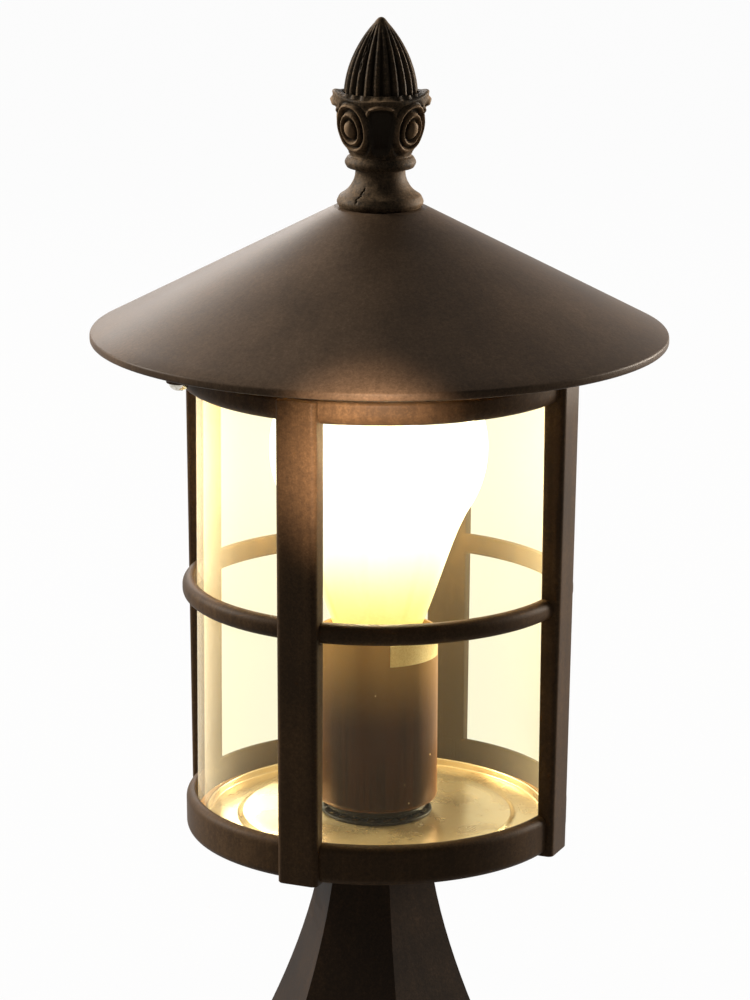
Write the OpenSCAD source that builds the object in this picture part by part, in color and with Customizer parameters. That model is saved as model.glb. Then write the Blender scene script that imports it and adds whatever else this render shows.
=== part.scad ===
// Boundary wall light: a lantern that stands on top of a wall or a gate pier.
// A flared six-sided foot carries a round four-bar cage with a clear glass tube,
// a lampholder in a metal sleeve with a pear-shaped clear bulb, and a conical
// roof with a bud finial. Millimetres, +Z up, origin at the middle of the foot's
// underside. The cage's bars stand on the diagonals, its windows face X and Y.

/* [Foot] */
// Height of the foot, from the wall to the cage
foot_h = 96; // [80:1:130]
// Corner radius of the six-sided flange
flange_r = 64; // [60:1:75]
// Thickness of the flange at its edge
flange_t = 8; // [6:0.5:12]
// Corner radius of the foot's neck, just below the cage
neck_r = 20.2; // [19.5:0.1:24]
// Corner radius of the flare where it meets the flange
flare_r = 47.6; // [42:0.2:49]
// How late the flare opens: 1 is straight, 2 is a parabola
flare_curve = 1.63; // [1.2:0.01:2.2]
// Wall of the hollow foot
foot_wall = 3.2; // [2.4:0.1:4]
// Turn of the foot's corners about the middle, in degrees
foot_turn = 21; // [0:1:59]
// Width across of each wall fixing hole
wall_hole_d = 5.5; // [4:0.1:7]
// Corner radius of the round plate on the foot's top
collar_r = 30; // [26:0.5:45]
// Thickness of the round plate on the foot's top
collar_t = 5; // [4:0.5:8]

/* [Cage] */
// Outer radius of the cage at its middle ring
cage_r = 72; // [70:0.5:80]
// Height of the cage, from its floor to the top of its top ring
cage_h = 177.5; // [168:0.5:200]
// Draft of the casting: how far the bars lean outwards, in degrees
cage_draft = 0.75; // [0:0.05:1.2]
// Radial thickness of the middle ring
ring_t = 4.4; // [4:0.1:6]
// Height of the bottom ring
bottom_ring_h = 15; // [12:0.5:20]
// Height of the middle ring
mid_ring_h = 7.6; // [6:0.2:10]
// Height of the middle ring's own middle above the cage's floor
mid_ring_z = 93.2; // [80:0.2:110]
// Height of the top ring
top_ring_h = 8; // [6:0.2:10]
// Thickness of the cage's floor
floor_t = 3.2; // [2.4:0.1:5]
// Width of a cage bar
bar_w = 15.5; // [12:0.5:18]
// How far a bar stands proud of the rings
bar_proud = 2.2; // [1:0.1:3]
// Radius of a bar's outer edges
bar_edge = 2; // [1:0.1:3]
// How far the roof screws stand outside the cage's top ring
ear_out = 3.9; // [3.8:0.1:8]
// Thickness of the two ears that carry the roof
ear_t = 2.6; // [2.4:0.1:5]

/* [Glass] */
// Gap between the glass tube and the cage
glass_gap = 0.9; // [0.5:0.1:1.5]
// Wall of the glass tube
glass_wall = 2.5; // [2:0.1:4]
// Thickness of the rings that cushion the glass tube's ends
gasket_t = 2; // [1:0.2:3]
// How far the glass tube rises above the cage's top ring
glass_rise = 5.5; // [3:0.5:6]

/* [Roof] */
// Outer radius of the roof
roof_r = 105; // [98:1:125]
// Open gap between the cage's top ring and the roof's edge
eave_gap = 8; // [8:0.2:14]
// Height of the roof, from its edge to the finial's seat
roof_h = 48.5; // [42:0.5:65]
// Height of the upright lip round the roof's edge
lip_h = 2.8; // [2:0.2:5]
// Thickness of the roof casting
roof_t = 2.5; // [2:0.1:4]
// Shank width of the roof screws and of their tapped bosses
roof_screw_d = 4; // [3:0.5:5]

/* [Finial] */
// Height of the finial
finial_h = 68.4; // [64:0.2:80]
// Radius of the finial's foot
finial_r = 15.7; // [14:0.1:16.4]
// Greatest radius of the leaf cup
cup_r = 17.4; // [16:0.1:18.4]
// Radius of the bud where it leaves the cup
bud_r = 13.4; // [11.5:0.1:14]
// Number of flutes round the bud
flute_count = 22; // [14:1:28]
// Depth of a flute
flute_depth = 0.9; // [0.4:0.1:1.4]
// Direction of the first leaf panel, in degrees
leaf_turn = -21; // [-45:1:45]
// Width of the stud that holds the finial
stud_d = 6; // [4:0.5:8]

/* [Sleeve and lampholder] */
// Outer width of the sleeve round the lampholder
sleeve_d = 45; // [44:0.5:50]
// Height of the sleeve
sleeve_h = 65; // [62:0.5:70]
// Wall of the sleeve
sleeve_wall = 1; // [0.8:0.1:1.4]
// Height of the black ring below the sleeve
seat_h = 2.8; // [2:0.1:5]
// Height of the plain label on the sleeve
label_h = 8; // [5:0.5:20]
// Outer radius of the lampholder
holder_r = 19.5; // [18:0.1:20.4]
// Height of the lampholder
holder_h = 56; // [54:0.5:60]
// Width of the hollow threaded rod that clamps the foot to the cage
rod_d = 10; // [8:0.5:12]
// Bore of the threaded rod, which carries the wires
rod_bore = 7; // [6.4:0.1:7.4]
// Width of one wire over its insulation
wire_d = 2; // [1.2:0.1:2.4]

/* [Bulb] */
// Greatest width of the glass bulb
bulb_d = 80; // [60:1:95]
// Height of the bulb, from its contact to its top
bulb_h = 142.5; // [130:0.5:150]
// Outer width of the bulb's screw cap
cap_d = 26.4; // [26:0.1:27]

/* [Hidden] */
$fn = 96;

// A hair's breadth, to keep cuts clean
eps = 0.01;
// Sliding clearance between a hole and what goes through it
slip = 0.25;
// Clearance between a part and the hollow that it stands in
room = 0.6;

// Foot
hex_sides = 6;
flat_share = cos(180 / hex_sides);
flare_steps = 14;
flange_bevel = 1.5;
wall_hole_count = 3;
wall_hole_r = (flare_r + flange_r) / 2;
collar_bevel = 1;
foot_top_t = 6;

// Cage levels, measured from the wall
cage_z = foot_h;
floor_top = cage_z + floor_t;
mid_z = cage_z + mid_ring_z;
top_z = cage_z + cage_h;
cage_bore = cage_r - ring_t;
ring_edge = 1.6;
soft_edge = 3.2;
cove_r = 5;
bar_depth = ring_t + bar_proud + 4;
bar_drop = 0.8;
bar_count = 4;
function cage_radius(z) = cage_r + (z - mid_z) * tan(cage_draft);

// Roof screws and ears
screw_x = cage_radius(top_z) + ear_out;
screw_head_r = roof_screw_d * 0.9;
screw_head_h = roof_screw_d * 0.7;
ear_r = 4.6;
screw_bite = 9;

// Glass and gaskets
glass_r = cage_bore - glass_gap;
glass_inner = glass_r - glass_wall;
glass_z = floor_top + gasket_t;
glass_top = top_z + glass_rise;

// Tray under the glass
tray_t = 1.2;
tray_r = glass_inner - room;
tray_step_r = tray_r - 14;
tray_step = 1.5;
tray_lip = 4;
tray_top = floor_top + tray_step + tray_t;

// Roof levels
roof_z = top_z + eave_gap;
seat_z = roof_z + roof_h;
seat_r = finial_r + 1.2;
roof_slope = atan((roof_h - lip_h) / (roof_r - seat_r));
roof_skin = roof_t / cos(roof_slope);
lip_edge = 0.8;
crown_t = 3;
function roof_under(r) = roof_z + lip_h + (roof_r - r) * tan(roof_slope) - roof_skin;

// Finial levels, measured from its seat
neck_top = finial_h * 0.196;
bead_z = finial_h * 0.238;
cup_low = finial_h * 0.28;
cup_top = finial_h * 0.618;
roundel_z = finial_h * 0.439;
roundel_r = 8.2;
hood_r = 4.6;
stud_up = 16;
washer_t = 1.6;
nut_h = stud_d * 0.8;

// Things on the threaded rod
plate_t = 2;
rod_nut_h = 5;
rod_nut_r = rod_d * 0.94;
fibre_t = 1.3;
fibre_r = sleeve_d / 2 - 1.9;
star_t = 1;
star_r = fibre_r - 1;
star_z = tray_top + fibre_t;
sleeve_seat_z = star_z + star_t;
sleeve_z = sleeve_seat_z + seat_h;
sleeve_r = sleeve_d / 2;
sleeve_inner = sleeve_r - sleeve_wall;
sleeve_top = sleeve_z + sleeve_h;
sleeve_edge = 2.4;
label_t = 0.15;
label_turn = -67;
label_half = 33;
label_gap = 0.5;
upper_nut_h = 4;
holder_z = sleeve_z + sleeve_wall + upper_nut_h;
holder_top = holder_z + holder_h;
holder_neck = 6;
holder_cap_h = 18;
holder_wall = 2.4;
feed_x = 9.5;
bracket_z = foot_h - foot_top_t - plate_t;
rod_low = bracket_z - washer_t - rod_nut_h - 2;
rod_top = holder_z + holder_neck;

// Bulb levels
bulb_r = bulb_d / 2;
contact_z = holder_z + holder_cap_h + 8.5;
contact_h = 1;
insulator_h = 3.6;
cap_z = contact_z + contact_h + insulator_h;
cap_h = 22.5;
cap_r = cap_d / 2;
cap_top = cap_z + cap_h;
bulb_top = contact_z + bulb_h;
globe_z = bulb_top - bulb_r;
bulb_glass = 0.8;
neck_in = cap_r - 1;
thread_rise = 0.45;
stem_top = globe_z - 36;
stem_r = 3.6;
stem_flare = 16;
filament_r = 11;
filament_z = globe_z - 6;
lead_r = 0.5;
filament_wire = 0.6;
filament_dip = 3;
lead_x = 2.6;
lead_root = 3;

// Terminals inside the foot
block_l = 24;
block_w = 11;
block_h = 15;
block_ways = 3;
block_z = bracket_z - 43;
bracket_w = 16;
bracket_x = -11;
block_x = bracket_x + plate_t;
screw_r = 1.6;
screw_head = 3;
head_t = 2.4;
terminal_pitch = block_l / block_ways;
block_top = block_z + block_h;
earth_z = block_top + 13;

// Points on an arc about [cx, cy], from angle a to angle b
function arc(cx, cy, r, a, b, n = 6) =
    [for (i = [0 : n]) let (t = a + (b - a) * i / n) [cx + r * cos(t), cy + r * sin(t)]];

// One point of a cubic curve with two handles
function curve_point(p, q, r, s, t) =
    p * pow(1 - t, 3) + 3 * q * pow(1 - t, 2) * t + 3 * r * (1 - t) * pow(t, 2) + s * pow(t, 3);

// Points along a cubic curve
function curve(p, q, r, s, n = 8) =
    [for (i = [0 : n]) curve_point(p, q, r, s, i / n)];

// A list in reverse order
function reversed(list) = [for (i = [len(list) - 1 : -1 : 0]) list[i]];

// Corner radius of the foot's flare at height z above the wall
function flare_at(z) =
    neck_r + (flare_r - neck_r) * pow((foot_h - z) / (foot_h - flange_t), flare_curve);

// Stands a child at each of n even turns
module ring_of(n, turn = 0) {
    for (i = [0 : n - 1])
        rotate([0, 0, turn + i * 360 / n]) children();
}

// A hexagonal nut on the Z axis
module nut(across_corners, h, bore) {
    difference() {
        cylinder(r = across_corners, h = h, $fn = 6);
        translate([0, 0, -eps]) cylinder(d = bore, h = h + 2 * eps);
    }
}

// A flat ring on the Z axis
module flat_ring(outer_r, inner_r, h) {
    difference() {
        cylinder(r = outer_r, h = h);
        translate([0, 0, -eps]) cylinder(r = inner_r, h = h + 2 * eps);
    }
}

// A six-sided body whose half width across the flats follows a side outline:
// three slabs, one across each pair of flats, and what they have in common.
module six_sided(outline) {
    mirrored = concat(outline, reversed([for (p = outline) [-p[0], p[1]]]));
    reach = 2 * flange_r;
    intersection_for (i = [0 : 2])
        rotate([0, 0, foot_turn + 30 + i * 60])
            rotate([90, 0, 0])
                linear_extrude(height = 2 * reach, center = true) polygon(mirrored);
}

function flare_outline(inset, low, high) =
    [for (i = [0 : flare_steps])
        let (z = low + (high - low) * i / flare_steps)
            [flare_at(z) * flat_share - inset, z]];

module foot() {
    flange_a = flange_r * flat_share;
    outer = concat(
        [[flange_a, 0], [flange_a, flange_t - flange_bevel], [flange_a - flange_bevel, flange_t]],
        flare_outline(0, flange_t, foot_h));
    color([0.22, 0.18, 0.15])
        difference() {
            union() {
                six_sided(outer);
                translate([0, 0, foot_h - collar_t])
                    cylinder(r1 = collar_r - collar_bevel, r2 = collar_r, h = collar_bevel);
                translate([0, 0, foot_h - collar_t + collar_bevel])
                    cylinder(r = collar_r, h = collar_t - collar_bevel);
            }
            six_sided(concat([[flare_at(flange_t) * flat_share - foot_wall, -1]],
                flare_outline(foot_wall, flange_t, foot_h - foot_top_t)));
            translate([0, 0, foot_h - foot_top_t - 1]) cylinder(d = rod_d + slip, h = foot_top_t + 2);
            ring_of(wall_hole_count, foot_turn)
                translate([wall_hole_r, 0, -1]) cylinder(d = wall_hole_d, h = flange_t + 2);
        }
}

// One hoop of the cage, with its two outer edges rounded and the casting's draft
module hoop(low, h, edge) {
    r_low = cage_radius(low);
    r_high = cage_radius(low + h);
    rotate_extrude()
        polygon(concat(
            [[cage_bore - 1, low]],
            arc(r_low - edge, low + edge, edge, -90, 0, 6),
            arc(r_high - edge, low + h - edge, edge, 0, 90, 6),
            [[cage_bore - 1, low + h]]));
}

// An upright of the cage, leaning outwards by the draft
module bar() {
    half = bar_w / 2;
    face = cage_r + bar_proud;
    section = concat(
        [[face - bar_depth, half], [face - bar_depth, -half]],
        arc(face - bar_edge, -half + bar_edge, bar_edge, -90, 0, 5),
        arc(face - bar_edge, half - bar_edge, bar_edge, 0, 90, 5));
    translate([cage_r, 0, mid_z])
        rotate([0, cage_draft, 0])
            translate([-cage_r, 0, cage_z - bar_drop - mid_z])
                linear_extrude(height = cage_h + bar_drop) polygon(section);
}

// The soft corners between a bar and the underside of the top ring
module coves() {
    low = top_z - top_ring_h;
    half = bar_w / 2 + cove_r;
    intersection() {
        translate([0, 0, low - cove_r]) flat_ring(cage_radius(low - cove_r), cage_bore - 1, cove_r + 1);
        rotate([90, 0, 90])
            linear_extrude(height = cage_r + bar_proud)
                difference() {
                    translate([-half, low - cove_r]) square([2 * half, cove_r + 1]);
                    for (side = [-1, 1])
                        translate([side * half, low - cove_r]) circle(r = cove_r);
                }
    }
}

// A lug on the top ring that carries one roof screw
module ear() {
    low = top_z - ear_t;
    translate([screw_x, 0, low]) cylinder(r = ear_r, h = ear_t);
    translate([cage_bore, -ear_r, low]) cube([screw_x - cage_bore, 2 * ear_r, ear_t]);
}

module cage() {
    color([0.20, 0.16, 0.13])
        difference() {
            union() {
                hoop(cage_z, bottom_ring_h, soft_edge);
                hoop(mid_z - mid_ring_h / 2, mid_ring_h, soft_edge);
                hoop(top_z - top_ring_h, top_ring_h, ring_edge);
                ring_of(bar_count, 45) bar();
                ring_of(bar_count, 45) coves();
                ring_of(2) ear();
                translate([0, 0, cage_z]) cylinder(r = cage_bore + 1, h = floor_t);
            }
            translate([0, 0, floor_top]) cylinder(r = cage_bore, h = cage_h);
            translate([0, 0, cage_z - 2]) cylinder(r = cage_bore, h = 2);
            translate([0, 0, cage_z - 1]) cylinder(d = rod_d + slip, h = floor_t + 2);
            ring_of(2)
                translate([screw_x, 0, top_z - ear_t - 1]) cylinder(d = roof_screw_d + slip, h = ear_t + 2);
        }
}

module base_tray() {
    outline = [
        [rod_d / 2 + slip, tray_step], [tray_step_r, tray_step], [tray_step_r + tray_step, 0],
        [tray_r - tray_t, 0], [tray_r, tray_t], [tray_r, tray_lip], [tray_r - tray_t, tray_lip],
        [tray_r - tray_t, tray_t], [tray_step_r + tray_step + 0.5, tray_t],
        [tray_step_r + 0.5, tray_step + tray_t], [rod_d / 2 + slip, tray_step + tray_t]
    ];
    color([0.36, 0.29, 0.20])
        translate([0, 0, floor_top]) rotate_extrude() polygon(outline);
}

module glass_gasket() {
    color([0.78, 0.62, 0.36])
        translate([0, 0, floor_top]) flat_ring(glass_r + glass_gap / 2, glass_inner - 0.3, gasket_t);
}

module glass_tube() {
    color([0.98, 0.96, 0.82, 0.35])
        translate([0, 0, glass_z]) flat_ring(glass_r, glass_inner, glass_top - glass_z);
}

module glass_top_gasket() {
    color([0.78, 0.62, 0.36])
        translate([0, 0, glass_top]) flat_ring(glass_r + glass_gap / 2, glass_inner - 0.3, gasket_t);
}

// The roof's shell is one turned outline: lip, cone and flat crown
module roof_shell() {
    rim = roof_z + lip_h;
    inner_r = roof_r - roof_t;
    crown_low = seat_z - crown_t;
    crown_in = roof_r - (crown_low + roof_skin - rim) / tan(roof_slope);
    rotate_extrude()
        polygon(concat(
            arc(roof_r - lip_edge, roof_z + lip_edge, lip_edge, -90, 0, 4),
            arc(roof_r - lip_edge, rim - lip_edge / 2, lip_edge, 0, 60, 3),
            [[seat_r, seat_z], [0, seat_z], [0, crown_low], [crown_in, crown_low]],
            [[inner_r, roof_under(inner_r)], [inner_r, roof_z]]));
}

module roof() {
    tap_top = top_z + screw_bite + 1;
    color([0.26, 0.21, 0.17])
        difference() {
            union() {
                roof_shell();
                ring_of(2)
                    translate([screw_x, 0, top_z])
                        cylinder(r = ear_r - 0.3, h = roof_under(screw_x + ear_r) - top_z + 1);
            }
            ring_of(2)
                translate([screw_x, 0, top_z - 1]) cylinder(d = roof_screw_d, h = tap_top - top_z + 1);
            translate([0, 0, seat_z - crown_t - 1]) cylinder(d = stud_d + slip, h = crown_t + 2);
        }
}

// A pan-headed screw, pointing up, with a cross recess in its head
module pan_screw(d, head_r, head_h, length) {
    difference() {
        rotate_extrude()
            polygon(concat(
                [[0, -head_h]],
                arc(head_r - head_h * 0.7, -head_h * 0.3, head_h * 0.7, -90, 0, 5),
                [[head_r, 0], [d / 2, 0], [d / 2, length - d / 3], [d / 3, length], [0, length]]));
        for (turn = [0, 90])
            rotate([0, 0, turn])
                translate([-head_r * 0.5, -d / 10, -head_h - 1]) cube([head_r, d / 5, head_h * 0.6 + 1]);
    }
}

module roof_screws() {
    color([0.82, 0.80, 0.76])
        ring_of(2)
            translate([screw_x, 0, top_z - ear_t])
                pan_screw(roof_screw_d, screw_head_r, screw_head_h, ear_t + screw_bite);
}

// The bud above the leaf cup: rings of points, drawn in between the flutes
bud_rings = 9;
function bud_radius(t) = bud_r * pow(cos(90 * pow(t, 1.1)), 0.78);
function bud_flute(t) = flute_depth * sin(180 * min(1, 0.12 + 0.95 * t)) * (1 - t * 0.3);

module fluted_bud(low, high) {
    sides = flute_count * 4;
    levels = [for (i = [0 : bud_rings - 1]) i / bud_rings];
    points = concat(
        [for (t = levels) for (k = [0 : sides - 1])
            let (r = bud_radius(t) - bud_flute(t) * (0.5 - 0.5 * cos(90 * k)), a = 360 * k / sides)
                [r * cos(a), r * sin(a), low + (high - low) * t]],
        [[0, 0, high], [0, 0, low]]);
    tip = bud_rings * sides;
    faces = concat(
        [for (i = [0 : bud_rings - 2]) for (k = [0 : sides - 1])
            let (n = (k + 1) % sides, a = i * sides)
                [a + k, a + sides + k, a + sides + n]],
        [for (i = [0 : bud_rings - 2]) for (k = [0 : sides - 1])
            let (n = (k + 1) % sides, a = i * sides)
                [a + k, a + sides + n, a + n]],
        [for (k = [0 : sides - 1]) [tip - sides + k, tip, tip - sides + (k + 1) % sides]],
        [for (k = [0 : sides - 1]) [k, (k + 1) % sides, tip + 1]]);
    polyhedron(points = points, faces = faces);
}

// A round boss with two raised rings about it, lying on the cup's side
module roundel() {
    rotate([0, 90, 0])
        rotate_extrude()
            polygon([
                [0, -3], [roundel_r, -3], [roundel_r, 0.2], [roundel_r - 0.7, 0.9],
                [roundel_r - 1.5, 0.2], [roundel_r - 2.2, -0.4], [roundel_r - 2.9, 0.3],
                [roundel_r - 3.6, 0.9], [roundel_r - 4.3, 0.2], [roundel_r - 4.9, -0.4],
                [roundel_r - 5.3, 0.2], [roundel_r - 6.3, 1.1], [0, 1.4]]);
}

// A leaf panel's curved lip, which stands proud at the top of the cup
module hood() {
    translate([cup_r - 1.1, 0, cup_top - hood_r - 1.6])
        rotate([90, 0, 90]) rotate_extrude(angle = 180) translate([hood_r, 0]) circle(r = 1, $fn = 24);
}

// The foot, hollow neck, bead and cup as one outline, in finial levels
module finial_stem() {
    neck = finial_r * 0.575;
    waist = finial_r * 0.7;
    rotate_extrude()
        polygon(concat(
            [[0, 0], [finial_r - 1.2, 0]],
            arc(finial_r - 1.8, 2.4, 1.8, -60, 50, 5),
            curve([finial_r - 1.2, 4.2], [finial_r - 4, 6], [neck + 0.2, 8.5], [neck, neck_top], 6),
            arc(waist, bead_z, 1.9, -75, 75, 6),
            curve([waist, cup_low], [finial_r * 0.93, cup_low + 4.5],
                [cup_r - 0.9, cup_top - 14], [cup_r - 0.3, cup_top - 3], 7),
            [[cup_r, cup_top - 0.8], [cup_r - 1.2, cup_top], [bud_r, cup_top - 2.5]],
            [[0, cup_top - 2.5]]));
}

module finial() {
    panel_r = 5;
    color([0.18, 0.15, 0.13])
        translate([0, 0, seat_z])
            difference() {
                union() {
                    difference() {
                        finial_stem();
                        ring_of(4, leaf_turn)
                            translate([cup_r + panel_r - 2, 0, cup_low + 3])
                                rotate([0, 8, 0]) cylinder(r = panel_r, h = cup_top - cup_low - 9);
                    }
                    fluted_bud(cup_top - 4, finial_h);
                    ring_of(4, leaf_turn) hood();
                    ring_of(4, leaf_turn + 45)
                        translate([cup_r - 2.3, 0, roundel_z]) rotate([0, 12, 0]) roundel();
                }
                translate([0, 0, -1]) cylinder(d = stud_d, h = stud_up + 1);
            }
}

module finial_stud() {
    length = stud_up + crown_t + washer_t + nut_h + 2;
    color([0.75, 0.73, 0.68])
        translate([0, 0, seat_z + stud_up - length]) cylinder(d = stud_d, h = length);
}

module finial_washer() {
    color([0.72, 0.70, 0.66])
        translate([0, 0, seat_z - crown_t - washer_t]) flat_ring(stud_d, stud_d / 2 + slip / 2, washer_t);
}

module finial_nut() {
    color([0.72, 0.70, 0.66])
        translate([0, 0, seat_z - crown_t - washer_t - nut_h]) nut(stud_d * 0.95, nut_h, stud_d);
}

module threaded_rod() {
    color([0.70, 0.66, 0.55])
        translate([0, 0, rod_low]) flat_ring(rod_d / 2, rod_bore / 2, rod_top - rod_low);
}

module rod_lower_washer() {
    color([0.72, 0.70, 0.66])
        translate([0, 0, bracket_z - washer_t]) flat_ring(rod_d * 0.85, rod_d / 2 + slip / 2, washer_t);
}

module rod_lower_nut() {
    color([0.72, 0.70, 0.66])
        translate([0, 0, bracket_z - washer_t - rod_nut_h]) rotate([0, 0, 30]) nut(rod_nut_r, rod_nut_h, rod_d);
}

// A black washer that keeps the toothed one off the tray
module fibre_washer() {
    color([0.09, 0.08, 0.07])
        translate([0, 0, tray_top]) flat_ring(fibre_r, rod_d / 2 + slip / 2, fibre_t);
}

// A washer with teeth round its outside, which keep the sleeve from turning
module star_washer() {
    tooth_count = 20;
    tooth_w = 2.4;
    color([0.80, 0.76, 0.66])
        translate([0, 0, star_z])
            difference() {
                union() {
                    cylinder(r = star_r - 2.4, h = star_t);
                    ring_of(tooth_count)
                        translate([star_r - 4, -tooth_w / 2, 0]) cube([4, tooth_w, star_t]);
                }
                translate([0, 0, -1]) cylinder(d = rod_d + slip, h = star_t + 2);
            }
}

module sleeve_seat() {
    seat_out = star_r - 1;
    color([0.08, 0.07, 0.06])
        translate([0, 0, sleeve_seat_z])
            difference() {
                rotate_extrude()
                    polygon(concat([[0, 0], [seat_out, 0]],
                        arc(seat_out - 1, seat_h - 1, 1, 0, 90, 4), [[0, seat_h]]));
                translate([0, 0, -1]) cylinder(d = rod_d + slip, h = seat_h + 2);
            }
}

module cover_sleeve() {
    bore = (rod_d + slip) / 2;
    inner_edge = sleeve_edge - sleeve_wall;
    color([0.42, 0.31, 0.19])
        translate([0, 0, sleeve_z])
            rotate_extrude()
                polygon(concat(
                    [[bore, 0]],
                    arc(sleeve_r - sleeve_edge, sleeve_edge, sleeve_edge, -90, 0, 5),
                    [[sleeve_r, sleeve_h], [sleeve_inner, sleeve_h]],
                    arc(sleeve_r - sleeve_edge, sleeve_edge, inner_edge, 0, -90, 5),
                    [[bore, sleeve_wall]]));
}

// A plain paper label, wrapped on the sleeve just below its rim
module sleeve_label() {
    color([0.93, 0.88, 0.70])
        translate([0, 0, sleeve_top - label_h - label_gap])
            rotate([0, 0, label_turn - label_half])
                rotate_extrude(angle = 2 * label_half)
                    translate([sleeve_r, 0]) square([label_t, label_h]);
}

module rod_upper_nut() {
    color([0.72, 0.70, 0.66])
        translate([0, 0, sleeve_z + sleeve_wall]) nut(rod_nut_r, upper_nut_h, rod_d);
}

module lampholder_cap() {
    entry_r = rod_d / 2;
    low_r = entry_r + 3;
    color([0.12, 0.11, 0.10])
        translate([0, 0, holder_z])
            rotate_extrude()
                polygon([
                    [entry_r, 0], [low_r, 0], [low_r, holder_neck - 2], [holder_r - 2, holder_neck + 4],
                    [holder_r, holder_neck + 7], [holder_r, holder_cap_h],
                    [holder_r - holder_wall, holder_cap_h], [holder_r - holder_wall, holder_neck + 8],
                    [low_r, holder_neck + 1], [entry_r, holder_neck]]);
}

module lampholder_body() {
    low = holder_z + holder_cap_h;
    mouth = holder_top - 9;
    shell_r = cap_r + 1.6;
    color([0.90, 0.88, 0.82])
        difference() {
            rotate_extrude()
                polygon([
                    [0, low], [holder_r, low], [holder_r, holder_top - 1], [holder_r - 1, holder_top],
                    [holder_r - 2, holder_top], [shell_r, mouth], [shell_r, low + 7], [0, low + 7]]);
            for (x = [-1, 1])
                translate([x * feed_x, 0, low - 1]) cylinder(r = screw_r, h = 5);
        }
}

module lampholder_shell() {
    low = holder_z + holder_cap_h + 7;
    shell_r = cap_r + 1.6;
    color([0.80, 0.62, 0.30])
        translate([0, 0, low + 4]) flat_ring(shell_r, cap_r + 0.9, cap_z + cap_h * 0.72 - low - 4);
}

module lampholder_contact() {
    low = holder_z + holder_cap_h + 7;
    color([0.80, 0.62, 0.30])
        translate([-8, -2.5, low]) {
            cube([8, 5, 0.6]);
            translate([5, 0, 0]) cube([6, 5, contact_z - low]);
        }
}

module lampholder_terminals() {
    low = holder_z + holder_cap_h;
    color([0.78, 0.66, 0.40])
        for (x = [-1, 1])
            translate([x * feed_x, 0, low - head_t]) {
                cylinder(r = screw_r, h = head_t + 4);
                cylinder(r = screw_head, h = head_t);
            }
}

// The glass of the bulb: a ball that runs down into a long neck
neck_angle = -32;
function globe_outline(inset, low) =
    let (r = bulb_r - inset,
        meet = [r * cos(neck_angle), globe_z + r * sin(neck_angle)],
        reach = bulb_r * 0.35,
        handle = meet + reach * [sin(neck_angle), -cos(neck_angle)],
        foot_r = neck_in - inset)
        concat(
            [[foot_r, low]],
            reversed(curve(meet, handle, [foot_r + bulb_r * 0.195, cap_top + bulb_r * 0.3],
                [foot_r, cap_top + 0.4], 9)),
            arc(0, globe_z, r, neck_angle + 6, 90, 16));

module bulb_globe() {
    low = cap_top - 4;
    color([1, 0.97, 0.82, 0.4])
        rotate_extrude()
            polygon(concat(globe_outline(0, low), reversed(globe_outline(bulb_glass, low))));
}

// The screw cap, with the thread as rounded waves in its wall
module bulb_cap() {
    turns = 4;
    steps = turns * 6;
    wave_low = 3;
    wave_h = cap_h - 8;
    outer = [for (i = [0 : steps])
        [cap_r - thread_rise + thread_rise * cos(360 * i / 6), wave_low + wave_h * i / steps]];
    color([0.78, 0.72, 0.58])
        translate([0, 0, cap_z])
            rotate_extrude()
                polygon(concat(
                    [[cap_r - 3, 0]], outer, [[cap_r - 0.4, cap_h - 4], [cap_r + 0.2, cap_h]],
                    [[neck_in, cap_h], [neck_in, cap_h - 4 - eps], [cap_r - 1.6, cap_h - 5.5]],
                    [[cap_r - 1.6, 3], [cap_r - 3.6, 0.6], [cap_r - 3.6, 0]]));
}

module bulb_insulator() {
    color([0.05, 0.05, 0.06])
        translate([0, 0, cap_z - insulator_h])
            cylinder(r1 = 5, r2 = cap_r - 3.6, h = insulator_h);
}

module bulb_contact() {
    color([0.75, 0.74, 0.70])
        translate([0, 0, contact_z])
            cylinder(r1 = 3.4, r2 = 4.6, h = contact_h);
}

// Two feed wires and two hooks, rising from the stem to the filament
module lead_rods() {
    for (turn = [0 : 90 : 270]) {
        start = turn % 180 == 0 ? lead_x : 1;
        reach = filament_r - start;
        rise = filament_z - stem_top + lead_root;
        rotate([0, 0, turn])
            translate([start, 0, stem_top - lead_root])
                rotate([0, atan(reach / rise), 0])
                    cylinder(r = lead_r, h = norm([reach, rise]));
    }
}

// The lit wire's own shape: a shallow zigzag ring, open at one side
module filament_rods() {
    parts = 11;
    step = 330 / parts;
    route = [for (i = [0 : parts])
        [filament_r * cos(i * step), filament_r * sin(i * step), filament_z + (i % 2) * filament_dip]];
    wire(route, 2 * filament_wire, [0, 0, 1]);
}

// The glass stem that carries the filament, flared where it joins the neck
module bulb_stem() {
    low = cap_top - 4;
    color([1, 0.98, 0.88, 0.5])
        difference() {
            rotate_extrude()
                polygon(concat(
                    [[0, low + 1.2], [neck_in - bulb_glass, low + 1.2], [neck_in - bulb_glass, low + 2.4]],
                    curve([neck_in - 3, low + 3], [2 * stem_r, low + 5], [stem_r + 0.6, low + stem_flare / 2],
                        [stem_r, low + stem_flare], 6),
                    [[stem_r - 0.2, stem_top - 4], [stem_r + 0.8, stem_top - 2]],
                    [[stem_r + 0.4, stem_top], [0, stem_top]]));
            lead_rods();
        }
}

module bulb_leads() {
    color([0.70, 0.66, 0.60])
        difference() {
            lead_rods();
            filament_rods();
        }
}

module bulb_filament() {
    color([1, 0.85, 0.45]) filament_rods();
}

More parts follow.
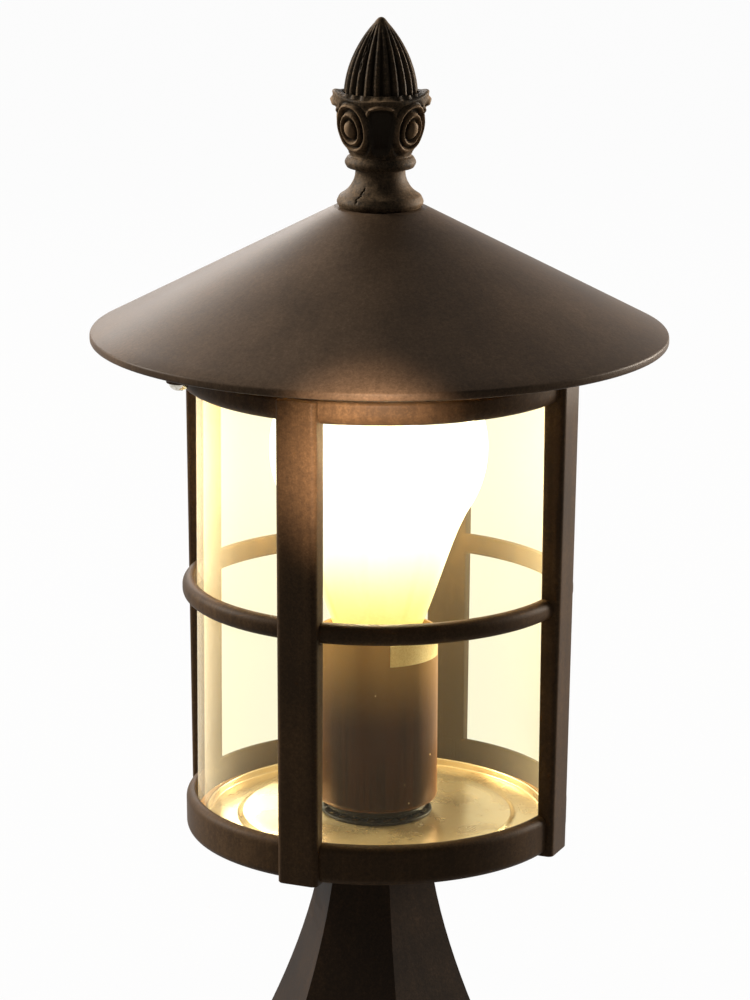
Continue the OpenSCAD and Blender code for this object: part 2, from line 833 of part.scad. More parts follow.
// A strap under the foot's top, bent down to carry the terminal block
module terminal_bracket() {
    leg = bracket_z + plate_t - block_z;
    color([0.68, 0.67, 0.63])
        difference() {
            union() {
                translate([bracket_x, -bracket_w / 2, bracket_z])
                    cube([-2 * bracket_x, bracket_w, plate_t]);
                translate([bracket_x, -bracket_w / 2, block_z]) cube([plate_t, bracket_w, leg]);
            }
            translate([0, 0, bracket_z - 1]) cylinder(d = rod_d + slip, h = plate_t + 2);
            translate([bracket_x - 1, 0, earth_z])
                rotate([0, 90, 0]) cylinder(r = screw_r, h = plate_t + 2);
        }
}

module terminal_block() {
    color([0.93, 0.92, 0.88])
        translate([block_x, -block_l / 2, block_z])
            difference() {
                cube([block_w, block_l, block_h]);
                for (i = [0 : block_ways - 1])
                    translate([block_w / 2, (i + 0.5) * terminal_pitch, 0]) {
                        translate([0, 0, -1]) cylinder(d = wire_d + slip, h = 5);
                        translate([0, 0, block_h - 4]) cylinder(d = wire_d + slip, h = 5);
                        for (z = [4.5, block_h - 4.5])
                            translate([0, 0, z]) rotate([0, 90, 0]) cylinder(r = screw_r, h = block_w);
                    }
                for (i = [1 : block_ways - 1])
                    translate([block_w - 2, i * terminal_pitch - 0.5, -1]) cube([3, 1, block_h + 2]);
            }
}

module terminal_screws() {
    color([0.76, 0.68, 0.46])
        for (i = [0 : block_ways - 1])
            for (z = [4.5, block_h - 4.5])
                translate([block_x + block_w / 2, -block_l / 2 + (i + 0.5) * terminal_pitch, block_z + z])
                    rotate([0, 90, 0])
                        difference() {
                            translate([0, 0, wire_d / 2 + 0.4]) cylinder(r = screw_r, h = block_w / 2 - 2);
                            translate([-0.3, -screw_r, block_w / 2 - 1.4]) cube([0.6, 2 * screw_r, 2]);
                        }
}

module earth_screw() {
    color([0.80, 0.70, 0.42])
        translate([block_x, 0, earth_z])
            rotate([0, 90, 0]) {
                translate([0, 0, -plate_t - 2]) cylinder(r = screw_r, h = plate_t + 2);
                cylinder(r = screw_head, h = head_t);
            }
}

// A round wire swept along a list of points, eight-sided, closed at both ends
module wire(route, d, across = [0.31, 0.95, 0.04]) {
    n = 8;
    last = len(route) - 1;
    function along(i) =
        let (v = route[min(i + 1, last)] - route[max(i - 1, 0)]) v / norm(v);
    function side(i) = let (v = cross(along(i), across)) v / norm(v);
    points = [for (i = [0 : last]) for (k = [0 : n - 1])
        let (u = side(i), w = cross(along(i), u), a = 360 * k / n)
            route[i] + d / 2 * (cos(a) * u + sin(a) * w)];
    faces = concat(
        [[for (k = [0 : n - 1]) k]],
        [for (i = [0 : last - 1]) for (k = [0 : n - 1])
            [i * n + k, (i + 1) * n + k, (i + 1) * n + (k + 1) % n, i * n + (k + 1) % n]],
        [[for (k = [n - 1 : -1 : 0]) last * n + k]]);
    polyhedron(points = points, faces = faces);
}

// Routes of the wires: out of the block's top, up the rod, to the terminals
way_y = terminal_pitch;
way_x = block_x + block_w / 2;
rod_way = rod_bore / 2 - wire_d / 2 - 0.5;
wire_in = 3.5;
wire_rise = 2;
head_low = holder_z + holder_cap_h - head_t;
function lead_route(y_side) = [
    [way_x, y_side * way_y, block_top - wire_in],
    [way_x, y_side * way_y, block_top + wire_rise],
    [way_x + 1.5, y_side * way_y, block_top + 3 * wire_rise],
    [way_x + 3, y_side * way_y * 0.6, block_top + 5 * wire_rise],
    [0, y_side * rod_way, rod_low - 3 * wire_rise],
    [0, y_side * rod_way, rod_low],
    [0, y_side * rod_way, rod_top + 1.5],
    [y_side * -3, y_side * rod_way * 1.4, rod_top + 2 * wire_rise],
    [y_side * (2 - feed_x), y_side * 1.6, head_low - 2 * wire_rise],
    [y_side * -feed_x, 0, head_low - 1.2],
    [y_side * -feed_x, 0, head_low]];

module wire_live() {
    color([0.45, 0.26, 0.14]) wire(lead_route(1), wire_d);
}

module wire_neutral() {
    color([0.18, 0.32, 0.62]) wire(lead_route(-1), wire_d);
}

module wire_earth() {
    color([0.35, 0.62, 0.20])
        wire([
            [way_x, 0, block_top - wire_in], [way_x, 0, block_top + wire_rise * 0.75],
            [way_x - 0.8, 0, block_top + wire_rise * 1.75], [block_x + 1.9, 0, block_top + wire_rise * 3.25],
            [block_x + head_t / 2, 0, earth_z - screw_head - 0.6],
            [block_x + head_t / 2, 0, earth_z - screw_head]], wire_d);
}

foot();
cage();
base_tray();
glass_gasket();
glass_tube();
glass_top_gasket();
roof();
roof_screws();
finial();
finial_stud();
finial_washer();
finial_nut();
threaded_rod();
rod_lower_washer();
rod_lower_nut();
fibre_washer();
star_washer();
sleeve_seat();
cover_sleeve();
sleeve_label();
rod_upper_nut();
lampholder_cap();
lampholder_body();
lampholder_shell();
lampholder_contact();
lampholder_terminals();
bulb_globe();
bulb_cap();
bulb_insulator();
bulb_contact();
bulb_stem();
bulb_leads();
bulb_filament();
terminal_bracket();
terminal_block();
terminal_screws();
earth_screw();
wire_live();
wire_neutral();
wire_earth();
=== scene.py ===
# %% [markdown]
# # A lantern for the top of a garden wall
# The frame holds every solid of the lantern at its real size and place. This
# notebook gives it its looks. First comes the frame, then the camera that took
# the picture, then the surfaces that deserve a finer shape than a plain solid
# has, then the finishes, and last the light.

import bmesh
import bpy
import numpy as np
from mathutils import Matrix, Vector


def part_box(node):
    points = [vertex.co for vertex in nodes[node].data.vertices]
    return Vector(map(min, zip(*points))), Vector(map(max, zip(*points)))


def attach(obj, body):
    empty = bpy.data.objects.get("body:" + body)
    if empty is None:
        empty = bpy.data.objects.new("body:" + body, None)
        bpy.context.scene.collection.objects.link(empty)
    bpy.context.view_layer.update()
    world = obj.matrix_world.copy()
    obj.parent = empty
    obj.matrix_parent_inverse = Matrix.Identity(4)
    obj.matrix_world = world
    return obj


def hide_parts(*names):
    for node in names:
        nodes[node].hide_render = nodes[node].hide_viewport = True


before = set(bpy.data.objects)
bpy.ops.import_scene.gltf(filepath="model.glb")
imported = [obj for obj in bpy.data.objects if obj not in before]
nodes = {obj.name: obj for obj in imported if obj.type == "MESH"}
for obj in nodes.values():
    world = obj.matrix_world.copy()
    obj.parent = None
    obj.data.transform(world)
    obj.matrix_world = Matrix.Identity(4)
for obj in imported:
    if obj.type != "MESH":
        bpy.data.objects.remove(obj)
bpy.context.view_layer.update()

mm = 0.001
print("solids in the frame:", len(nodes))

# %% [markdown]
# ## The camera
# The edge of the roof, the rings and the foot were matched to the picture, and
# that gave a long lens held about a metre and a half away and 15 degrees above
# level. The camera aims beside the lantern's axis by a few pixels, and it was
# held a third of a degree out of true. All of that is worked out here from the
# pixel on which one point of the axis falls.

# %% Set the camera
picture = np.array([750.0, 1000.0])
lens_px = 4000.0
aim_pixel = np.array([378.5, 570.0])
aim_height = 194.4 * mm
distance = 1474 * mm
azimuth = np.radians(-22.0)
elevation = np.radians(15.14)
roll = np.radians(0.33)


def camera_axes():
    """Right, up and forward of the camera in the frame: turn by the pixel offsets, then by the roll."""
    yaw = np.arctan((aim_pixel[0] - picture[0] / 2) / lens_px)
    down = elevation - np.arctan((aim_pixel[1] - picture[1] / 2) / lens_px)
    ahead = np.array([-np.sin(yaw) * np.cos(down), np.cos(yaw) * np.cos(down), -np.sin(down)])
    side = np.cross(ahead, [0, 0, 1])
    side = side / np.linalg.norm(side)
    top = np.cross(side, ahead)
    turned = [np.cos(roll) * side + np.sin(roll) * top, np.cos(roll) * top - np.sin(roll) * side, ahead]
    c, s = np.cos(azimuth), np.sin(azimuth)
    about_z = np.array([[c, -s, 0], [s, c, 0], [0, 0, 1]])
    return [about_z @ v for v in turned]


def stand(thing, right, up, back, place):
    """Gives a new object its three axes and its place, and links it to the scene."""
    matrix = np.eye(4)
    matrix[:3, 0], matrix[:3, 1], matrix[:3, 2], matrix[:3, 3] = right, up, back, place
    thing.matrix_world = Matrix(matrix)
    bpy.context.scene.collection.objects.link(thing)


def add_camera():
    """Stands the camera at its distance from the aimed point and gives it its three axes."""
    flat = distance * np.cos(elevation)
    rise = distance * np.sin(elevation)
    place = np.array([np.sin(azimuth) * flat, -np.cos(azimuth) * flat, aim_height + rise])
    right, up, ahead = camera_axes()
    data = bpy.data.cameras.new("picture_camera")
    data.sensor_width = 36.0
    data.lens = lens_px * data.sensor_width / picture.max()
    data.clip_start = 0.05
    data.clip_end = 60.0
    camera = bpy.data.objects.new("picture_camera", data)
    stand(camera, right, up, -ahead, place)
    bpy.context.scene.camera = camera
    print("lens %.0f mm, camera at" % data.lens, np.round(place, 3))


add_camera()

# %% [markdown]
# ## From arrays to a mesh
# Every surface below is a grid of points worked out as whole arrays. One helper
# turns grids into one mesh: it numbers the quads, joins points that fall
# together, such as those at a pole, and lets Blender point the faces outwards.


# %% Grid helpers
def grid_quads(rows, cols, wrap_rows, wrap_cols, start=0):
    """Corners (i, j), (i, j+1), (i+1, j+1), (i+1, j) of each cell of a grid, with wrapped ends if asked."""
    i = np.arange(rows if wrap_rows else rows - 1)[:, None]
    j = np.arange(cols if wrap_cols else cols - 1)[None, :]
    i2, j2 = (i + 1) % rows, (j + 1) % cols
    quads = np.stack(np.broadcast_arrays(i * cols + j, i * cols + j2, i2 * cols + j2, i2 * cols + j), -1)
    return quads.reshape(-1, 4) + start


def make_piece(name, grids, stands_for, flat_angle=35, worn=None):
    """Joins grids of points, each (array, wrap_rows, wrap_cols), into one mesh that stands for CAD nodes.

    The worn values, one a point, say how much the paint there is worn paler, as wear, or darkened, as painted
    shade.
    """
    points, quads, start = [], [], 0
    for grid, wrap_rows, wrap_cols in grids:
        rows, cols = grid.shape[:2]
        points.append(grid.reshape(-1, 3))
        quads.append(grid_quads(rows, cols, wrap_rows, wrap_cols, start))
        start += rows * cols
    points, quads = np.concatenate(points), np.concatenate(quads)
    mesh = bpy.data.meshes.new(name)
    mesh.vertices.add(len(points))
    mesh.vertices.foreach_set("co", points.ravel())
    mesh.loops.add(quads.size)
    mesh.loops.foreach_set("vertex_index", quads.ravel())
    mesh.polygons.add(len(quads))
    mesh.polygons.foreach_set("loop_start", np.arange(0, quads.size, 4))
    mesh.update(calc_edges=True)
    if worn is not None:
        mesh.attributes.new("worn", "FLOAT", "POINT").data.foreach_set("value", worn.ravel())
    tidy = bmesh.new()
    tidy.from_mesh(mesh)
    bmesh.ops.remove_doubles(tidy, verts=tidy.verts, dist=2e-6)
    bmesh.ops.dissolve_degenerate(tidy, edges=tidy.edges, dist=1e-7)
    bmesh.ops.recalc_face_normals(tidy, faces=tidy.faces)
    tidy.to_mesh(mesh)
    tidy.free()
    mesh.validate()
    mesh.shade_smooth()
    mesh.set_sharp_from_angle(angle=np.radians(flat_angle))
    piece = bpy.data.objects.new(name, mesh)
    bpy.context.scene.collection.objects.link(piece)
    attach(piece, "root")
    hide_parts(*stands_for)
    print("%-16s %6d faces" % (name, len(mesh.polygons)))
    return piece


# %% [markdown]
# ## Turned outlines
# Most of a lantern is round: the roof, the glass, the sleeve and the bulb are
# outlines turned about the axis. An outline is a short list of corners, each
# with a radius, and `rounded` puts a true arc into each corner. `turned` then
# carries the outline round the axis.


# %% Outline helpers
def rounded(corners, closed=True, step=0.35):
    """An outline through corners (r, z, fillet), each replaced by an arc that touches both of its sides."""
    pts = np.array([c[:2] for c in corners], float)
    radii = [c[2] if len(c) > 2 else 0.0 for c in corners]
    n, out = len(pts), []
    for k in range(n):
        here, before, after = pts[k], pts[k - 1], pts[(k + 1) % n]
        ends = not closed and k in (0, n - 1)
        if ends or radii[k] <= 0:
            out.append(here[None])
            continue
        a = (before - here) / np.linalg.norm(before - here)
        b = (after - here) / np.linalg.norm(after - here)
        half = np.arccos(np.clip(a @ b, -1, 1)) / 2
        reach = radii[k] / np.tan(half)
        middle = here + (a + b) / np.linalg.norm(a + b) * radii[k] / np.sin(half)
        count = max(3, int(np.ceil((np.pi - 2 * half) * radii[k] / step)) + 1)
        p, q = here + a * reach - middle, here + b * reach - middle
        sweep = np.pi - 2 * half
        t = np.linspace(0, 1, count)[:, None]
        arc = (np.sin((1 - t) * sweep) * p + np.sin(t * sweep) * q) / np.sin(sweep)
        out.append(middle + arc)
    return np.concatenate(out)


def divided(outline, longest, closed=True):
    """The same outline with every side cut into pieces no longer than the given length."""
    ahead = np.roll(outline, -1, axis=0) if closed else outline[1:]
    out = []
    for p, q in zip(outline, ahead):
        parts = max(1, int(np.ceil(np.linalg.norm(q - p) / longest)))
        out.append(p + (q - p) * np.arange(parts)[:, None] / parts)
    if not closed:
        out.append(outline[-1:])
    return np.concatenate(out)


def polar(r, angle, z):
    """Points at x = r cos t, y = r sin t and z, for arrays or numbers that fit together."""
    r, angle, z = np.broadcast_arrays(r, angle, z)
    return np.stack([r * np.cos(angle), r * np.sin(angle), z], -1)


def even_angles(count):
    """The angles of a whole turn in equal steps, as one row."""
    return np.linspace(0, 2 * np.pi, count, endpoint=False)[None, :]


def turned(outline, around, centre=(0.0, 0.0)):
    """Each point (r, z) of an outline in millimetres, carried round the axis or round another centre."""
    return (polar(outline[:, :1], even_angles(around), outline[:, 1:]) + [*centre, 0.0]) * mm


def turned_piece(name, outline, around, node):
    """A closed outline, turned into one piece that stands for one node."""
    return make_piece(name, [(turned(outline, around), True, True)], [node])


def bezier(p, q, r, s, count):
    """Points of a cubic curve: (1-t)^3 p + 3(1-t)^2 t q + 3(1-t) t^2 r + t^3 s."""
    t = np.linspace(0, 1, count)[:, None]
    p, q, r, s = (np.array(v, float) for v in (p, q, r, s))
    return (1 - t) ** 3 * p + 3 * (1 - t) ** 2 * t * q + 3 * (1 - t) * t ** 2 * r + t ** 3 * s


def low_high(node):
    """The z of a node's lowest and highest point, and half its width along X, in millimetres."""
    low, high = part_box(node)
    return low[2] / mm, high[2] / mm, (high[0] - low[0]) / 2 / mm


# %% [markdown]
# ## The roof
# The real roof is one thin casting: a plain cone with a small upright lip, and a
# flat crown under the finial. Its edges are soft from the mould. Turning a
# rounded outline gives that softness, and the two screw bosses are turned too.

# %% Roof
boss_low, seat_z = low_high("roof")[:2]
top_z = low_high("cage")[1]
screw_head_r = 3.6
screw_x = low_high("roof_screws")[2] - screw_head_r
roof_r = 105.0
eave_z = top_z + 8.0
lip_h = 2.8
crown_r = 16.9
roof_t = 2.5
slope = np.arctan((seat_z - eave_z - lip_h) / (roof_r - crown_r))


def under_roof(r):
    """Height of the roof's underside at radius r."""
    return eave_z + lip_h + (roof_r - r) * np.tan(slope) - roof_t / np.cos(slope)


def build_roof():
    """Lip, cone, crown and underside as one turned outline, and the two screw bosses under it."""
    inner_r = roof_r - roof_t
    crown_low = seat_z - 3.0
    crown_in = roof_r - (crown_low + roof_t / np.cos(slope) - eave_z - lip_h) / np.tan(slope)
    corners = [
        (0.0, seat_z), (crown_r, seat_z, 1.2), (roof_r, eave_z + lip_h, 1.0), (roof_r, eave_z, 0.9),
        (inner_r, eave_z, 0.7), (inner_r, under_roof(inner_r), 0.4), (crown_in, crown_low, 1.0),
        (0.0, crown_low)]
    shell = divided(rounded(corners, closed=False), 6.0, closed=False)
    boss_bore, boss_r, sunk, high_up = 2.0, 4.3, 0.8, 999.0
    ring = rounded([(boss_bore, boss_low), (boss_r, boss_low, 0.5), (boss_r, high_up), (boss_bore, high_up)])
    bosses = []
    for x in (-screw_x, screw_x):
        boss = turned(ring, 48, (x, 0.0)) / mm
        ceiling = under_roof(np.hypot(boss[..., 0], boss[..., 1])) + sunk
        boss[..., 2] = np.minimum(boss[..., 2], ceiling)
        bosses.append((boss * mm, True, True))
    return make_piece("roof_cone", [(turned(shell, 320), False, True)] + bosses, ["roof"])


roof_cone = build_roof()

# %% [markdown]
# ## The cage
# One casting: a floor, three rings, four bars that stand a little proud of them,
# and two ears for the roof's screws. The mould's draft lets everything lean
# outwards by less than a degree. The rings are turned outlines with soft outer
# edges, the top one nearly a quarter round below, so the windows keep their
# square corners. Bars and ears are upright loops, closed at both ends.

# %% Cage
cage_r, cage_draft, bore_r = 72.0, np.radians(0.75), 67.6
cage_z = low_high("foot")[1]
mid_z = cage_z + 93.2
floor_t = 3.2
rod_hole_r = 5.13


def cage_radius(z):
    """Radius of the rings' outer face at height z, with the casting's draft."""
    return cage_r + (z - mid_z) * np.tan(cage_draft)


def cage_ring(low, high, edge_low, edge_high):
    """A ring between two heights, its outer face drafted and its two outer edges rounded."""
    corners = [(bore_r, low, 0.6), (cage_radius(low), low, edge_low),
               (cage_radius(high), high, edge_high), (bore_r, high, 0.6)]
    return turned(divided(rounded(corners), 4.0), 288), True, True


def upright(loop, levels, lean, edge, turn):
    """A flat loop carried up through the levels: closed and softened at both ends, leaned, then turned."""
    middle = (loop.max(0) + loop.min(0)) / 2
    reach = (loop.max(0) - loop.min(0)).min() / 2
    low, high = levels[0], levels[-1]
    end = [(0.0, 0.0), (0.0, 1 - edge / reach), (0.3 * edge, 1 - 0.3 * edge / reach), (edge, 1.0)]
    rows = [(low + rise, share) for rise, share in end]
    rows += [(z, 1.0) for z in levels[1:-1]]
    rows += [(high - rise, share) for rise, share in reversed(end)]
    c, s = np.cos(turn), np.sin(turn)
    out = []
    for z, share in rows:
        flat = middle + (loop - middle) * share
        x = flat[:, 0] + (z - mid_z) * np.tan(lean) * np.clip((flat[:, 0] - bore_r) / 3.0, 0, 1)
        out.append(np.stack([x * c - flat[:, 1] * s, x * s + flat[:, 1] * c, np.full(len(flat), z)], -1))
    return np.stack(out) * mm, False, True


def bar_loop(half=7.75, proud=2.2, edge=2.0):
    """A bar's section: two rounded outer edges, and an inner face that follows the bore."""
    face = cage_r + proud
    corners = [(face, -half, edge), (face, half, edge), (bore_r, half, 0.6), (bore_r, -half, 0.6)]
    loop = divided(rounded(corners), 1.5)
    bend = bore_r - np.sqrt(bore_r ** 2 - loop[:, 1] ** 2)
    loop[:, 0] -= bend * np.clip((cage_r - loop[:, 0]) / 3.0, 0, 1)
    return loop


def build_cage():
    """The floor and bottom ring as one outline, two more rings, four bars and two ears."""
    base_top = cage_z + 15
    floor_z = cage_z + floor_t
    base = [(rod_hole_r, cage_z), (cage_radius(cage_z), cage_z, 3.2), (cage_radius(base_top), base_top, 3.2),
            (bore_r, base_top, 0.6), (bore_r, floor_z, 0.8), (rod_hole_r, floor_z)]
    grids = [(turned(divided(rounded(base), 5.0), 288), True, True),
             cage_ring(mid_z - 3.8, mid_z + 3.8, 3.2, 3.2),
             cage_ring(top_z - 8.7, top_z, 4.6, 1.2)]
    levels = np.linspace(cage_z - 0.8, top_z, 12)
    for k in range(4):
        grids.append(upright(bar_loop(), levels, cage_draft, 0.5, np.radians(45 + 90 * k)))
    half = 4.6
    end = screw_x + half
    ear = rounded([(bore_r + 2, -half), (end, -half, 4.5), (end, half, 4.5), (bore_r + 2, half)])
    for turn in (0.0, np.pi):
        grids.append(upright(divided(ear, 2.0), np.array([top_z - 2.6, top_z]), 0.0, 0.4, turn))
    return make_piece("cast_cage", grids, ["cage"])


cast_cage = build_cage()

# %% [markdown]
# ## The finial
# A turned foot and bead, a cup of leaves with four round scrolls, and a fluted
# bud. One casting, so one surface: an outline turned about the axis, moved in and
# out by a relief that is a formula of the angle and the height. Each motif of the
# relief is a bump of one distance, such as the distance from a scroll's middle.

# %% Finial outline
leaf_turn = np.radians(-21.0)
finial_low, finial_top, _ = low_high("finial")
finial_h = finial_top - finial_low
cup_low, cup_top = 19.2, 42.3
scroll_z = 30.0
cup_r = 17.2
bud_r = 13.4


def finial_outline():
    """Foot, neck, bead and cup as rounded corners; the bud's radius is a power of a cosine of its height."""
    base = rounded([
        (0.0, 0.0), (14.6, 0.0, 0.8), (15.9, 2.0, 1.6), (14.7, 4.4, 1.6), (11.6, 6.4, 8.0), (9.1, 10.6, 8.0),
        (9.0, 14.2, 0.8), (12.0, 14.4, 0.9), (13.1, 16.4, 1.7), (11.9, 18.4, 0.9), (10.9, 18.9, 0.4),
        (13.9, 23.6, 10.0), (15.7, 30.0, 20.0), (16.4, 37.6, 10.0), (cup_r, cup_top, 0.7),
        (bud_r + 0.6, cup_top - 0.6, 0.8), (bud_r, cup_top - 2.2, 0.5)], closed=False, step=0.25)
    t = np.linspace(0.08, 0.93, 58)[:, None]
    reach = bud_r * np.cos(np.pi / 2 * t ** 1.1) ** 0.78
    rise = cup_top - 4.0 + (finial_h - cup_top + 4.0) * t
    bud = np.concatenate([reach, rise], 1)
    tip = bezier(bud[-1], bud[-1] + [-0.75, 1.0], [1.2, finial_h], [0.0, finial_h], 10)
    return divided(np.concatenate([base, bud[1:], tip[1:]]), 0.62, closed=False)


def bump(distance, middle, width):
    """A smooth ridge: 1 where the distance is the middle, and 0 a width away on both sides."""
    t = np.clip(np.abs(distance - middle) / width, 0, 1)
    return (1 - t * t) ** 2


def fade(value, low, high):
    """0 below low, 1 above high, and a smooth step between."""
    t = np.clip((value - low) / (high - low), 0, 1)
    return t * t * (3 - 2 * t)


def off_axis(angle, middle, repeats=4):
    """The angle from the nearest of a motif's evenly repeated middles."""
    turn = 2 * np.pi / repeats
    return (angle - middle + turn / 2) % turn - turn / 2


# %% Finial relief
def scroll_relief(angle, z, r):
    """Four ovals: a domed boss with a ring about it, and a wider ring half a millimetre higher up."""
    side = off_axis(angle, leaf_turn + np.pi / 4) * r / 7.6
    up = (z - scroll_z) / 10.0
    reach = np.hypot(side, up) * 10
    inner = np.hypot(side, up + 0.05) * 10
    relief = 1.9 * np.clip(1 - (inner / 3.2) ** 2, 0, 1) ** 0.5
    relief += 1.2 * bump(inner, 5.3, 1.2) - 0.5 * bump(inner, 3.8, 0.9)
    relief += 1.25 * bump(reach, 8.3, 1.3) - 0.6 * bump(reach, 6.8, 1.0)
    return relief - 0.5 * bump(reach, 10.3, 0.9), reach


def leaf_relief(angle, z, r):
    """Four hollow panels between the scrolls, each under a hood that arches over its top and stands proud."""
    side = off_axis(angle, leaf_turn) * r
    half = 3.3 + 0.10 * (z - cup_low)
    inside = 1 - fade(np.abs(side), half - 1.2, half + 0.4)
    hollow = -1.9 * inside * fade(z, cup_low, cup_low + 4) * (1 - fade(z, 36.4, 37.6))
    hood_z = 38.8 - 0.12 * side ** 2
    hood = 1.5 * bump(z, hood_z, 1.7) * (1 - fade(np.abs(side), 4.4, 6.2))
    mid_rib = 0.35 * bump(side, 0.0, 1.4) * fade(z, cup_low + 2, cup_low + 8) * (1 - fade(z, 32, 37))
    return hollow + hood + mid_rib


def crack(angle, z, start, end, wander, width, depth):
    """A narrow jagged groove from one (angle, z) to another, as the casting's flaws are."""
    along = np.clip((z - start[1]) / (end[1] - start[1]), 0, 1)
    line = start[0] + (end[0] - start[0]) * along
    line = line + wander * (np.sin(along * 17.0) + 0.6 * np.sin(along * 41.0 + 1.0))
    near = off_axis(angle, line, 1)
    inside = fade(z, min(start[1], end[1]) - 0.3, min(start[1], end[1]) + 0.6)
    inside = inside * (1 - fade(z, max(start[1], end[1]) - 0.8, max(start[1], end[1])))
    return -depth * bump(near, 0.0, width) * inside


def build_finial():
    """The turned outline plus the relief along the radius; the cup's rim is drawn out at the leaf tips."""
    outline = finial_outline()
    angle = even_angles(540)
    r, z = outline[:, :1], outline[:, 1:]
    row = np.arange(len(outline))[:, None]
    rim_row = int(np.argmax(np.where(np.abs(outline[:, 1] - cup_top) < 0.8, outline[:, 0], 0)))
    on_cup = fade(z, cup_low + 0.2, cup_low + 1.6) * (1 - fade(z, 40.2, 41.6)) * (row <= rim_row)
    scrolls, reach = scroll_relief(angle, z, r)
    leaves = on_cup * leaf_relief(angle, z, r) * fade(reach, 9.4, 10.6)
    relief = on_cup * np.where(reach < 11.4, scrolls, 0) + leaves
    tips = np.cos(off_axis(angle, leaf_turn) * 2) ** 2
    near_rim = fade(z, 37.0, cup_top) * (row <= rim_row + 6)
    relief = relief + near_rim * (0.9 * tips - 0.5)
    front_back = 0.5 + 0.5 * np.cos(2 * (angle - leaf_turn - 3 * np.pi / 2))
    lift = near_rim * (0.9 * tips - 0.6 - 1.9 * front_back)
    on_bud = row > rim_row + 6
    climb = np.clip((z - cup_top + 2) / (finial_h - cup_top + 2), 0, 1)
    flutes = np.abs(off_axis(angle, leaf_turn, 22)) * 22 / np.pi
    depth = 1.9 * np.sin(np.pi * np.clip(0.22 + 0.80 * climb, 0, 1)) ** 0.7 * (1 - 0.25 * climb)
    relief = relief - on_bud * depth * flutes ** 1.8 * (1 - fade(climb, 0.72, 0.97))
    camera_side = azimuth - np.pi / 2
    relief = relief + on_bud * crack(
        angle, z, (camera_side - 0.75, 50.0), (camera_side - 0.62, 66.2), 0.025, 0.06, 0.8)
    relief = relief + crack(angle, z, (camera_side - 0.62, 3.0), (camera_side - 0.54, 8.4), 0.02, 0.05, 0.5)
    # worn: above 0.5 on ridges, paler as wear; below 0.5 in hollows, darker as painted shade.
    worn = np.clip(0.5 + 0.34 * relief, 0, 1) * np.ones_like(angle)
    radius = np.maximum(r + relief * (r > 1.5), 0.0)
    grid = polar(radius, angle, z + lift + finial_low) * mm
    return make_piece("carved_finial", [(grid, False, True)], ["finial"], 70, worn)


carved_finial = build_finial()

# %% [markdown]
# ## Glass and tray
# The glass tube is drawn glass with fire-polished ends, so its edges are full
# rounds. The tray below it is spun from sheet: its step and its upturned edge are
# bends, never corners.


# %% Glass and tray
glass_low, glass_top, glass_r = low_high("glass_tube")


def build_glass():
    """A straight wall with both ends rounded to a half circle."""
    wall = 2.5
    inner = glass_r - wall
    edge = wall / 2 * 0.98
    corners = [(inner, glass_low, edge), (glass_r, glass_low, edge), (glass_r, glass_top, edge),
               (inner, glass_top, edge)]
    outline = divided(rounded(corners), 12.0)
    return turned_piece("clear_tube", outline, 288, "glass_tube")


def build_tray():
    """A flat middle, a bent step, a flat floor and an upturned edge with a rolled rim."""
    low, high, out = low_high("base_tray")
    t, step, bore = 1.2, 1.5, 5.25
    step_r = out - 14.0
    corners = [
        (bore, low + step), (step_r, low + step, 2.2), (step_r + step, low, 1.0), (out, low, 1.4),
        (out, high, 0.55), (out - t, high, 0.55), (out - t, low + t, 0.6),
        (step_r + step + 0.5, low + t, 2.0), (step_r + 0.5, low + step + t, 1.0), (bore, low + step + t)]
    outline = divided(rounded(corners, step=0.2), 5.0)
    return turned_piece("spun_tray", outline, 256, "base_tray")


clear_tube = build_glass()
spun_tray = build_tray()

# %% [markdown]
# ## Two roof screws
# A pan head is a low dome, and its cross is four slots pressed into the dome. The
# head is a polar grid: its height falls off with the radius, and drops inside the
# cross. The thread is a small wave along the shank that climbs as it turns.


# %% Screws
def build_screws():
    """Head: height over the polar grid, less the cross. Shank: radius less a wave of z / pitch - angle."""
    low, high, _ = low_high("roof_screws")
    head_r, head_h, shank_r, pitch = screw_head_r, 2.8, 2.0, 0.7
    angle = even_angles(128)
    r = np.concatenate([np.linspace(0, head_r - 0.3, 30), [head_r - 0.1, head_r]])[:, None]
    x, y = r * np.cos(angle), r * np.sin(angle)
    dome = head_h * np.sqrt(np.clip(1 - (r / head_r) ** 2 * 0.96, 0, 1))
    arm = np.minimum(np.abs(x), np.abs(y))
    cross = (1 - fade(arm, 0.30, 0.46)) * (1 - fade(r, 1.7, 2.1)) * (1.5 - 0.35 * r)
    head = polar(r, angle, low + head_h - dome + cross)
    z = np.linspace(low + head_h, high - 0.1, 96)[:, None]
    wave = 0.16 * np.abs(((z / pitch - angle / (2 * np.pi)) % 1.0) * 2 - 1)
    shank_reach = shank_r - 0.02 - wave * fade(z, low + head_h + 1, low + head_h + 2)
    shank = polar(shank_reach, angle, z)
    under = polar(head_r, angle, low + head_h)
    one = np.concatenate([head, under, shank, polar(0.0, angle, high)])
    grids = []
    for side in (-1, 1):
        placed = one * np.array([side, side, 1.0]) + np.array([side * screw_x, 0, 0])
        grids.append((placed * mm, False, True))
    return make_piece("pan_screws", grids, ["roof_screws"])


pan_screws = build_screws()

# %% [markdown]
# ## The sleeve round the lampholder
# A drawn cup with a soft lower edge and a thin rim that is curled a hair outwards.
# It stands on a black seat, a toothed washer and a dark fibre washer.


# %% Sleeve and its seat
def build_sleeve():
    """Floor, rounded heel, straight wall and a curled rim, as one closed outline."""
    low, high, out = low_high("cover_sleeve")
    wall = 1.0
    corners = [
        (rod_hole_r, low), (out, low, 2.4), (out - 0.12, high - 1.0, 1.0), (out, high, 0.3),
        (out - wall, high, 0.3), (out - wall, low + wall, 1.5), (rod_hole_r, low + wall)]
    outline = divided(rounded(corners, step=0.25), 6.0)
    return turned_piece("drawn_sleeve", outline, 192, "cover_sleeve")


